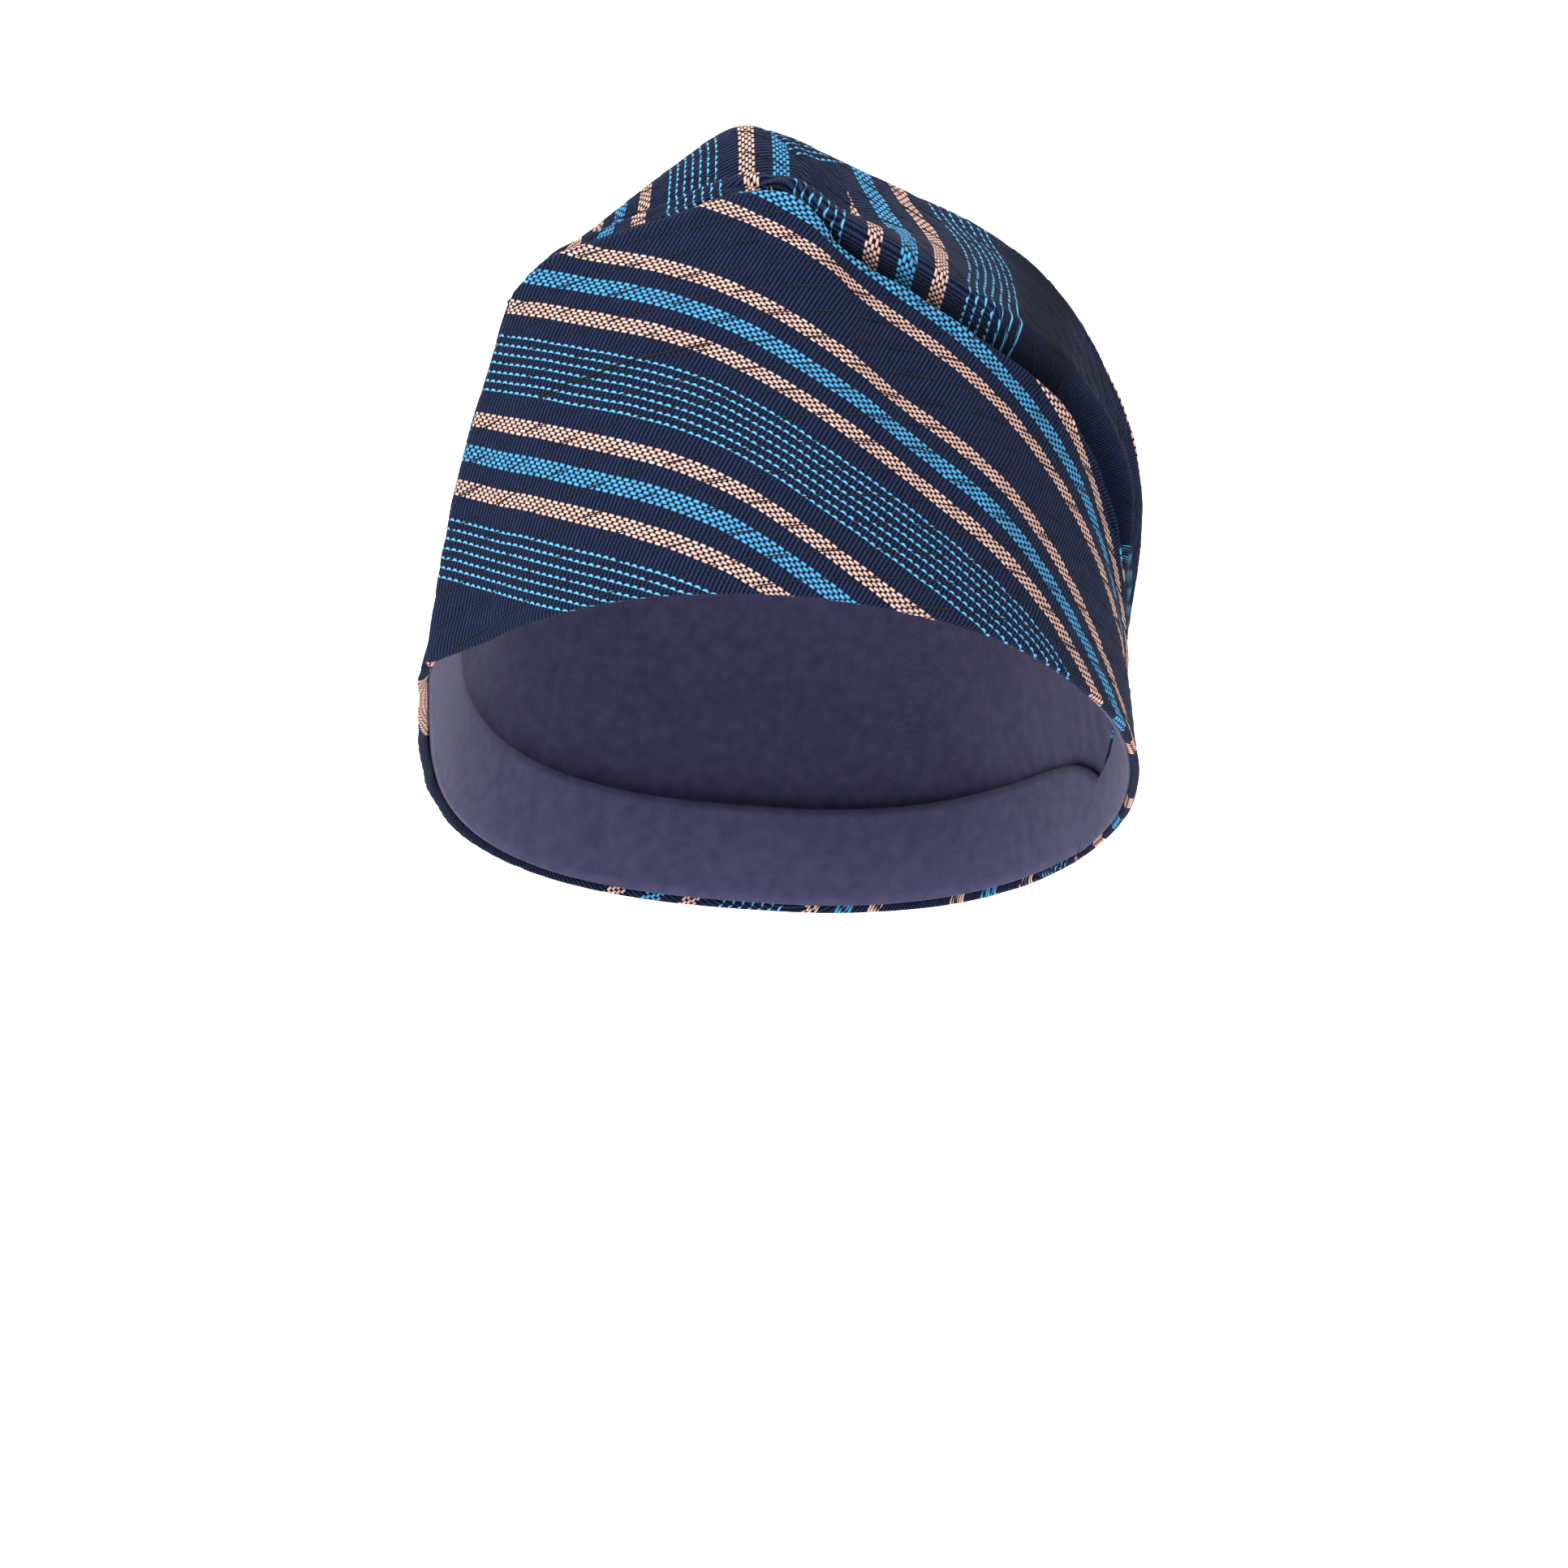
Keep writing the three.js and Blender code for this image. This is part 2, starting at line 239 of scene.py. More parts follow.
@dataclass
class CapShape:
    """The middle surface of the cap's cloth: a bag of two panels, in metres."""

    hem_width: float = 0.172
    hem_depth: float = 0.196
    hem_pitch: float = math.radians(22.5)
    hem_roll: float = math.radians(4.0)
    crown_width: float = 0.17
    crown_depth: float = 0.1
    crown_height: float = 0.15
    front_belly: float = 0.004
    back_bulge: float = 0.062
    back_slope: float = 0.014
    side_lean: float = 0.16
    wall: float = 0.002
    pleat_depth: float = 0.02
    pleat_mouth: float = 0.008
    pleat_bulb: float = 0.0046
    roll_height: float = 0.01
    valley_depth: float = 0.014
    gape: float = 0.0016
    gape_inwards: float = 0.6
    seam_flare: float = 0.006
    temple_flare_reach: float = 0.04
    rear_flare_reach: float = 0.07
    folds_towards: float = 0.35
    folds_end: float = 0.2
    front_shares: tuple[float, ...] = (0.0, 0.25, 0.5, 0.75, 0.94)
    back_shares: tuple[float, ...] = (0.25, 0.5, 0.75)
    back_hold: float = 0.62
    temple_closing: float = 0.1
    rear_closing: float = 0.07
    temple_seam: float = -65.0
    rear_seam: float = 118.0
    front_spans: int = 7
    squareness: dict[tuple[bool, bool], float] = field(
        default_factory=lambda: {
            (True, True): 2.05, (True, False): 2.0, (False, False): 2.1, (False, True): 2.8,
        }
    )
    lines: dict[float, GuideLine] = field(default_factory=dict)

    def hem_point(self, degrees: float, flare: float = 0.0) -> Vector:
        """Point of the hem oval.

        Args:
            degrees: Angle from the front towards the wearer's left.
            flare: How far the point is pushed out to the wearer's right.

        Returns:
            The point on the hem's tilted plane.
        """
        across = math.sin(math.radians(degrees))
        along = -math.cos(math.radians(degrees))
        power = 2.0 / self.squareness[(along < 0.0, across < 0.0)]
        half_width = (self.hem_width - self.wall) / 2.0
        half_depth = (self.hem_depth - self.wall) / 2.0
        point = Vector(
            (
                math.copysign(half_width * abs(across) ** power, across) - flare,
                math.copysign(half_depth * abs(along) ** power, along),
                0.0,
            )
        )
        tilt = Matrix.Rotation(self.hem_roll, 3, "Y") @ Matrix.Rotation(-self.hem_pitch, 3, "X")
        return tilt @ point

    def crown_point(self, table: Sequence[Place], at: float) -> Vector:
        """Point of the ridge or the crest."""
        return Vector(
            (
                table_value(table, "x", at) * self.crown_width / 2.0,
                table_value(table, "y", at) * self.crown_depth / 2.0,
                table_value(table, "z", at) * self.crown_height,
            )
        )

    def line(self, at: float) -> GuideLine:
        """The line of one section: up the front, through the folds and down the back, made once."""
        if at not in self.lines:
            self.lines[at] = GuideLine(self.guides(at))
        return self.lines[at]

    def guides(self, at: float) -> list[Vector]:
        """Guide points of one section.

        Args:
            at: Share of the way from the right temple seam to the left rear seam.

        Returns:
            The points in order, from the front hem to the back hem.
        """
        turn = self.rear_seam - self.temple_seam
        flare = self.seam_flare * bell(at, self.temple_flare_reach)
        front_hem = self.hem_point(self.temple_seam + turn * at, flare)
        flare = self.seam_flare * bell(at, self.rear_flare_reach)
        back_hem = self.hem_point(self.temple_seam + FULL_TURN - (FULL_TURN - turn) * at, flare)
        ridge = self.crown_point(RIDGE, at)
        crest = self.crown_point(CREST, at)
        inside = Vector((0.0, self.crown_depth, self.crown_height)) * self.folds_towards
        outward = Vector((ridge.x, ridge.y - inside.y, 0.0)).normalized()
        inward = (inside - ridge).normalized()
        pleated = table_value(FOLDS, "pleat", at)
        sunk = inward * self.gape_inwards * self.gape - UP * self.gape
        sunk *= smooth(pleated) * smooth((1.0 - at) / self.folds_end)
        front = [
            front_hem.lerp(ridge + sunk, share) + outward * self.front_belly * math.sin(math.pi * share)
            for share in self.front_shares
        ]

        over = (crest - ridge).normalized()
        across = (over - inward * over.dot(inward)).normalized()
        apart = over.lerp(across, pleated).normalized()
        depth = self.pleat_depth * pleated
        mouth = self.pleat_mouth * table_value(FOLDS, "mouth", at)
        lift = self.roll_height * table_value(FOLDS, "roll", at)

        def fold(along: float, dive: float, rise: float) -> Vector:
            """A point of the pleat, by its way across, its dive inwards and its rise."""
            return ridge + apart * along + inward * dive * depth + UP * rise

        bulb = self.pleat_bulb / 2.0
        flap = fold(0.5 * mouth - bulb, 0.85, 0.2 * self.wall)
        pleat = fold(0.5 * mouth, 1.0, 0.3 * self.wall)
        underside = fold(0.5 * mouth + bulb, 0.85, 0.3 * self.wall)
        roll_edge = fold(1.05 * mouth, 0.0, 0.4 * self.wall + 0.3 * lift)
        roll_top = fold(1.4 * mouth, 0.1, 0.5 * self.wall + lift)

        dip = self.valley_depth * table_value(FOLDS, "valley", at)
        valley = roll_top.lerp(crest, 0.5) - UP * dip
        climb = valley.lerp(crest, 0.62) + UP * 0.18 * dip

        reach = smooth(at / self.folds_end) * smooth((1.0 - at) / self.folds_end)
        axis = Vector((0.0, math.sin(self.hem_pitch), math.cos(self.hem_pitch)))
        run = back_hem.y - crest.y
        drop = crest.z - back_hem.z
        rearwards = Vector((0.0, self.back_bulge, -self.back_slope))
        shoulder = crest + rearwards * (2.0 * run / self.hem_depth) * reach
        low_wall = back_hem + axis * self.back_hold * drop * (0.5 + 0.5 * reach)
        low_wall.x *= 1.0 - self.side_lean

        def down(share: float) -> Vector:
            """Point of the curve from the crest to the back hem."""
            left = 1.0 - share
            return (
                crest * left**3
                + shoulder * 3.0 * left**2 * share
                + low_wall * 3.0 * left * share**2
                + back_hem * share**3
            )

        folds = [ridge + sunk, flap + sunk, pleat, underside, roll_edge, roll_top, valley, climb, crest]
        return [*front, *folds, *map(down, self.back_shares), back_hem]

    def front_point(self, at: float, up: float) -> Vector:
        """Point of the front panel, from its hem (0) to the pleat's seam (1)."""
        line = self.line(at)
        return line.point(up * self.front_spans / line.spans)

    def back_point(self, at: float, down: float) -> Vector:
        """Point of the back panel, from the pleat's seam (0) to its hem (1)."""
        line = self.line(at)
        split = self.front_spans / line.spans
        point = line.point(split + down * (1.0 - split))
        from_right = math.sin(math.pi / 2.0 * min(1.0, at / self.temple_closing))
        from_left = math.sin(math.pi / 2.0 * min(1.0, (1.0 - at) / self.rear_closing))
        closed = self.front_point(0.0, 1.0 - down).lerp(point, from_right)
        return self.front_point(1.0, 1.0 - down).lerp(closed, from_left)


@dataclass(frozen=True)
class Spot:
    """A place on a panel's outer face.

    Attributes:
        face: The point.
        out: The way out of the cloth.
        flat: Its place on the flat cloth, in metres.
    """

    face: Vector
    out: Vector
    flat: Vector

    def toward(self, other: "Spot", share: float) -> "Spot":
        """The place a share of the way to another."""
        ways = ((self.face, other.face), (self.out, other.out), (self.flat, other.flat))
        return Spot(*(own.lerp(goal, share) for own, goal in ways))


@dataclass
class Sheet:
    """One panel as a grid of places on its outer face, its turned hem with it."""

    panel: Panel
    shape: CapShape
    columns: int
    span_rows: tuple[int, ...]
    hem_turns: tuple[float, ...] = (36.0, 72.0, 108.0, 144.0, 180.0)
    hem_inside: tuple[float, ...] = (2.0 * MM, 4.2 * MM)
    seam_dip: float = 0.6 * MM
    seam_reach: float = 1.1 * MM
    quilt_spacing: float = 6.6 * MM
    quilt_slope: float = math.radians(31.0)
    quilt_dip: float = 0.22 * MM
    quilt_reach: float = 1.3 * MM
    seam_at: float = 0.42
    seam_swing: float = 9.0 * MM
    seam_run: float = 30.0 * MM
    seam_pull: float = 0.12
    gusset_width: float = 20.0 * MM
    far_end: tuple[float, float] = (0.72, 0.82)
    wrinkle: float = 0.5 * MM
    wrinkle_turns: tuple[float, float] = (26.0, 70.0)
    swell: float = 0.8 * MM
    swell_turns: float = 22.0
    pinch_at: tuple[float, float] = (0.86, 0.91)
    pinch_reach: tuple[float, float] = (30.0 * MM, 50.0 * MM)
    pinch: float = 0.92
    quilt_break: float = 5.0 * MM
    points: list[list[Vector]] = field(default_factory=list)
    spots: list[list[Spot]] = field(default_factory=list)
    swings: list[float] = field(default_factory=list)

    @property
    def is_front(self) -> bool:
        """Whether this is the front panel."""
        return self.panel is Panel.FRONT

    @property
    def rows(self) -> int:
        """Number of steps of a column, without the turned hem."""
        return sum(self.span_rows)

    @property
    def all_rows(self) -> int:
        """Number of steps of a column with the turned hem."""
        return self.rows + len(self.hem_turns) + len(self.hem_inside)

    @property
    def ridge_row(self) -> int:
        """The row of the front panel's ridge."""
        return sum(self.span_rows[:5])

    @property
    def valley_row(self) -> int:
        """The row of the back panel's valley."""
        return sum(self.span_rows[:4])

    @property
    def crest_row(self) -> int:
        """The row of the back panel's crest."""
        return sum(self.span_rows[:6])

    @property
    def seam_column(self) -> int:
        """The column that follows the seam between the back's two lengths of cloth."""
        return round(self.columns * self.seam_at)

    def row_share(self, row: int) -> float:
        """Share of the way along a column, with the rows that each span is given."""
        left = row
        for index, count in enumerate(self.span_rows):
            if left <= count:
                return (index + left / count) / len(self.span_rows)
            left -= count
        return 1.0

    def build(self) -> None:
        """Work out the points on the cloth's middle and the places on its outer face."""
        self.points = self.front_points() if self.is_front else self.back_points()
        flat = self.unrolled() if self.is_front else self.measured()
        self.spots = [self.column_spots(column, flat[column]) for column in range(self.columns + 1)]

    def front_points(self) -> list[list[Vector]]:
        """Points of the front panel, column by column."""
        shares = [self.row_share(row) for row in range(self.rows + 1)]
        return [
            [self.shape.front_point(column / self.columns, share) for share in shares]
            for column in range(self.columns + 1)
        ]

    def back_points(self) -> list[list[Vector]]:
        """Points of the back panel, with its columns swung over to follow the seam at the front of the crown.

        Returns:
            The points, column by column.
        """
        shares = [self.row_share(row) for row in range(self.rows + 1)]
        middle = self.seam_column / self.columns
        lengths = running_lengths([self.shape.back_point(middle, share) for share in shares])
        crest_length = lengths[self.crest_row]
        self.swings = [self.seam_swing_at(length - crest_length) for length in lengths]
        step = 0.01
        pulls = []
        for share, swing in zip(shares, self.swings):
            beside = [self.shape.back_point(middle + side, share) for side in (-step, step)]
            pulls.append(swing * 2.0 * step / (beside[1] - beside[0]).length)
        columns = []
        for column in range(self.columns + 1):
            at = column / self.columns
            near = smooth(1.0 - abs(at - middle) / self.seam_pull)
            line = [self.shape.back_point(at + pull * near, share) for pull, share in zip(pulls, shares)]
            columns.append(line)
        return columns

    def seam_swing_at(self, below_crest: float) -> float:
        """How far the seam swings to the wearer's left in front of the crest."""
        return self.seam_swing * math.sin(math.pi * min(max(-below_crest / self.seam_run, 0.0), 1.0))

    def normal_at(self, column: int, row: int) -> Vector:
        """Outward normal from the points beside a point."""
        left, right = max(column - 1, 0), min(column + 1, self.columns)
        low, high = max(row - 1, 0), min(row + 1, self.rows)
        across = self.points[right][row] - self.points[left][row]
        along = self.points[column][high] - self.points[column][low]
        return across.cross(along).normalized()

    def unrolled(self) -> list[list[Vector]]:
        """Unroll the panel column by column, keeping the lengths of its edges and one diagonal.

        Returns:
            For each point its place on the flat cloth, right of and above the temple corner of the hem.
        """
        ridge_row = self.ridge_row
        low = Vector((0.0, 0.0))
        high = Vector((0.0, (self.points[0][ridge_row] - self.points[0][0]).length))
        edges = [(low, high)]
        for column in range(1, self.columns + 1):
            old_low, old_high = self.points[column - 1][0], self.points[column - 1][ridge_row]
            new_low, new_high = self.points[column][0], self.points[column][ridge_row]
            next_low = meet(low, (new_low - old_low).length, high, (new_low - old_high).length)
            next_high = meet(next_low, (new_high - new_low).length, high, (new_high - old_high).length)
            low, high = next_low, next_high
            edges.append((low, high))
        flat = []
        for points, (low, high) in zip(self.points, edges):
            heading = (high - low).normalized()
            flat.append([low + heading * length for length in running_lengths(points)])
        return flat

    def measured(self) -> list[list[Vector]]:
        """Lengths along the rows from the middle line, and along the columns from the crest.

        Returns:
            For each point its way left or right of the middle line and its way below the crest.
        """
        crest_row = self.crest_row
        across = []
        for row in range(self.rows + 1):
            lengths = running_lengths([line[row] for line in self.points])
            start = lengths[self.seam_column] - self.swings[row]
            across.append([length - start for length in lengths])
        flat = []
        for column, points in enumerate(self.points):
            lengths = running_lengths(points)
            near_end = eased(column / self.columns, *self.far_end)
            crest = across[crest_row][column]
            flat.append([])
            for row, length in enumerate(lengths):
                own = across[row][column]
                way = own + (crest - own) * near_end if row < crest_row else own
                flat[-1].append(Vector((way, length - lengths[crest_row])))
        return flat

    def in_gusset(self, column: int, row: int) -> bool:
        """Whether a face of the back panel lies in the gusset behind the valley, right of the seam."""
        behind = self.valley_row <= row < self.crest_row
        return behind and column >= self.seam_column and self.spots[column][row].flat.x < self.gusset_width

    def wall_share(self, column: int, row: int) -> float:
        """Share of the full wall at a point: less where the pleat's far end presses the cloth together."""
        at = column / self.columns
        away = (self.spots[column][row].face - self.shape.crown_point(RIDGE, at)).length
        return 1.0 - self.pinch * eased(at, *self.pinch_at) * (1.0 - eased(away, *self.pinch_reach))

    def quilt_level(self, flat: Vector) -> float:
        """Height of a flat place across the quilting rows, in rows."""
        slope = self.quilt_slope if self.is_front else -self.quilt_slope
        return (flat.y * math.cos(slope) - flat.x * math.sin(slope)) / self.quilt_spacing

    def relief(self, column: int, row: int, flat: Vector) -> float:
        """How far the outer face stands above or below its plain surface.

        Args:
            column: The point's column.
            row: The point's row.
            flat: Its place on the flat cloth.

        Returns:
            The height, in metres.
        """
        point = self.points[column][row]
        seam_row = self.rows if self.is_front else 0
        edges = [self.points[0][row], self.points[self.columns][row], self.points[column][seam_row]]
        if not self.is_front:
            edges.append(self.points[self.seam_column][row])
        near = min((point - edge).length for edge in edges)
        level = self.quilt_level(flat)
        off_row = abs(level - round(level)) * self.quilt_spacing
        along, up = self.wrinkle_turns
        wrinkle = noise.noise(Vector((flat.x * along, flat.y * up, 0.0)) + Vector((7.0, 3.0, 1.0)))
        return (
            self.wrinkle * wrinkle
            + self.swell * noise.noise(point * self.swell_turns)
            - self.quilt_dip * bell(off_row, self.quilt_reach)
            - self.seam_dip * bell(near, self.seam_reach)
        )

    def column_spots(self, column: int, flat: list[Vector]) -> list[Spot]:
        """Places on the outer face along a column, carried on round the hem and a little way up inside.

        Args:
            column: The column.
            flat: Flat place of each of its points.

        Returns:
            The places in order.
        """
        radius = self.shape.wall / 2.0
        points = self.points[column]
        spots = []
        for row, point in enumerate(points):
            out = self.normal_at(column, row)
            spots.append(Spot(point + out * (radius + self.relief(column, row, flat[row])), out, flat[row]))

        hem, inner = (0, 1) if self.is_front else (-1, -2)
        down = (points[hem] - points[inner]).normalized()
        flat_down = (flat[hem] - flat[inner]).normalized()
        out = spots[hem].out
        centre = points[hem] - down * radius
        shift = out * (spots[hem].face - points[hem] - out * radius).dot(out)
        turned = [Spot(centre + out * radius + shift, out, flat[hem] - flat_down * radius)]
        for degrees in self.hem_turns:
            angle = math.radians(degrees)
            way = out * math.cos(angle) + down * math.sin(angle)
            turned.append(
                Spot(centre + way * radius + shift, way, flat[hem] + flat_down * radius * (angle - 1.0))
            )
        for height in self.hem_inside:
            inside = turned[len(self.hem_turns)]
            turned.append(Spot(inside.face - down * height, inside.out, inside.flat + flat_down * height))
        if self.is_front:
            return [*reversed(turned), *spots[1:]]
        return [*spots[:-1], *turned]

    def quilt_rows(self) -> Iterator[tuple[int, list[Spot]]]:
        """Follow each quilting row across the panel's outer face.

        Yields:
            The number of a row and the places of one unbroken run of it, in order.
        """
        first = len(self.hem_turns) + len(self.hem_inside) if self.is_front else 0
        runs: dict[int, list[Spot]] = {}
        for line in self.spots:
            visible = line[first : first + self.rows + 1]
            for low, high in zip(visible, visible[1:]):
                start, end = self.quilt_level(low.flat), self.quilt_level(high.flat)
                for level in range(math.ceil(min(start, end)), math.ceil(max(start, end))):
                    spot = low.toward(high, (level - start) / (end - start))
                    run = runs.setdefault(level, [])
                    if run and (run[-1].face - spot.face).length > self.quilt_break:
                        yield level, runs[level]
                        runs[level] = [spot]
                    else:
                        run.append(spot)
        yield from runs.items()

    def nearest(self, right: float, high: float) -> Spot:
        """The spot nearest to a flat place."""
        goal = Vector((right, high))
        return min((spot for line in self.spots for spot in line), key=lambda spot: (spot.flat - goal).length)


class Nodes:
    """A short way to write a material's node tree."""

    def __init__(self, name: str) -> None:
        """Start a material with its output and main shader.

        Args:
            name: The material's name.
        """
        self.material = bpy.data.materials.new(name)
        self.material.use_nodes = True
        self.tree = self.material.node_tree
        self.tree.nodes.clear()
        self.shader = self.add("BsdfPrincipled")
        self.add("OutputMaterial", Surface=self.shader.outputs["BSDF"])

    def put(self, value: object, socket: Socket) -> None:
        """Link a socket, or set it to a constant."""
        if isinstance(value, Socket):
            self.tree.links.new(value, socket)
        else:
            socket.default_value = value

    def fill(self, node: bpy.types.Node, **values: object) -> None:
        """Put values in a node's inputs by name, with a space for each underscore."""
        for name, value in values.items():
            self.put(value, node.inputs[name.replace("_", " ")])

    def add(self, kind: str, **values: object) -> bpy.types.Node:
        """Add a node of a kind with values in its inputs."""
        node = self.tree.nodes.new(f"ShaderNode{kind}")
        self.fill(node, **values)
        return node

    def set(self, **values: object) -> None:
        """Put values in the main shader's inputs."""
        self.fill(self.shader, **values)

    def math(self, operation: str, *values: object) -> Socket:
        """A Math node's result."""
        node = self.add("Math")
        node.operation = operation
        for value, socket in zip(values, node.inputs):
            self.put(value, socket)
        return node.outputs[0]

    def times(self, first: object, second: object) -> Socket:
        """A product."""
        return self.math("MULTIPLY", first, second)

    def plus(self, first: object, second: object) -> Socket:
        """A sum."""
        return self.math("ADD", first, second)

    def less(self, first: object, second: object) -> Socket:
        """A difference."""
        return self.math("SUBTRACT", first, second)

    def power(self, value: object, exponent: float) -> Socket:
        """The size of a value, raised to a power."""
        return self.math("POWER", self.math("ABSOLUTE", value), exponent)

    def odd(self, value: object) -> Socket:
        """1 where a value's whole part is odd, and 0 where it is even."""
        return self.math("FLOORED_MODULO", self.math("FLOOR", value), 2.0)

    def wave(self, value: object) -> Socket:
        """Size of a sine wave that has one swell to each 1 of the value."""
        return self.math("ABSOLUTE", self.math("SINE", self.times(value, math.pi)))

    def ease(self, value: object, low: float, high: float) -> Socket:
        """A value eased to 0 at low and 1 at high."""
        node = self.add("MapRange", Value=value, From_Min=low, From_Max=high)
        node.interpolation_type = "SMOOTHSTEP"
        return node.outputs["Result"]

    def mix(self, share: object, first: object, second: object, blend: str = "MIX") -> Socket:
        """A mix of two colours, with a share of the second."""
        node = self.add("Mix")
        node.data_type = "RGBA"
        node.blend_type = blend
        self.put(share, node.inputs["Factor"])
        colours = [socket for socket in node.inputs if socket.type == "RGBA"]
        for value, socket in zip((first, second), colours):
            self.put(value, socket)
        return next(socket for socket in node.outputs if socket.type == "RGBA")

    def noise(self, vector: object, scale: float, detail: float = 2.0) -> Socket:
        """A Noise texture's value."""
        return self.add("TexNoise", Vector=vector, Scale=scale, Detail=detail).outputs["Fac"]

    def speckle(self, across: object, along: object) -> Socket:
        """A random value for each pair of numbers."""
        pair = self.add("CombineXYZ", X=across, Y=along)
        node = self.add("TexWhiteNoise", Vector=pair.outputs["Vector"])
        node.noise_dimensions = "2D"
        return node.outputs["Value"]

    def cloth_place(self) -> tuple[Socket, Socket]:
        """The ways across and along the cloth from the piece's own UV map: in yarns and millimetres."""
        place = self.add("UVMap")
        place.uv_map = UV_NAME
        split = self.add("SeparateXYZ", Vector=place.outputs["UV"])
        return self.times(split.outputs["X"], UV_SPAN), self.times(split.outputs["Y"], UV_SPAN)

    def object_place(self) -> Socket:
        """Object coordinates."""
        return self.add("TexCoord").outputs["Object"]

    def bump(self, height: object, distance: float) -> None:
        """Raise the surface by a height, in metres at full height."""
        node = self.add("Bump", Strength=1.0, Distance=distance, Height=height)
        self.set(Normal=node.outputs["Normal"])


def linear(red: int, green: int, blue: int) -> tuple[float, float, float, float]:
    """A colour seen on a screen, as the light that a shader takes.

    Args:
        red: Red from 0 to 255.
        green: Green from 0 to 255.
        blue: Blue from 0 to 255.

    Returns:
        The colour's four channels.
    """
    shares = [value / 255.0 for value in (red, green, blue)]
    light = [share / 12.92 if share <= 0.04045 else ((share + 0.055) / 1.055) ** 2.4 for share in shares]
    return (*light, 1.0)


class Yarn(Enum):
    """The yarn colours of the cloth; NAVY_SHADE is painted shade for the dips between the ground's ribs, and
    also darkens the ground's random mottle.
    """

    NAVY = linear(52, 64, 106)
    NAVY_SHADE = linear(5, 10, 20)
    SALMON = linear(252, 204, 184)
    SKY = linear(86, 176, 230)
    PALE_SKY = linear(98, 184, 228)


@dataclass(frozen=True)
class Stripe:
    """A stripe of the warp: its colour, its middle and half its width, in ground yarns."""

    yarn: Yarn
    middle: float
    half_width: float


PINS_HALF_WIDTH = 8.1
SKY_HALF_WIDTH = 2.3
SALMON_HALF_WIDTH = 2.05
SALMON_ASIDE = 9.0


def pinstripes(middle: float) -> Stripe:
    """A zone of pinstripes."""
    return Stripe(Yarn.PALE_SKY, middle, PINS_HALF_WIDTH)


def triple(middle: float) -> tuple[Stripe, ...]:
    """A sky stripe between two salmon ones."""
    return (
        Stripe(Yarn.SALMON, middle - SALMON_ASIDE, SALMON_HALF_WIDTH),
        Stripe(Yarn.SKY, middle, SKY_HALF_WIDTH),
        Stripe(Yarn.SALMON, middle + SALMON_ASIDE, SALMON_HALF_WIDTH),
    )


# The warp over one repeat, with wide plain navy before its first pinstripes and in its middle
WARP = (
    pinstripes(25.5), *triple(49.9), pinstripes(74.3), *triple(98.7),
    *triple(138.7), pinstripes(163.1), *triple(187.5),
)
WARP_REPEAT = 201.2


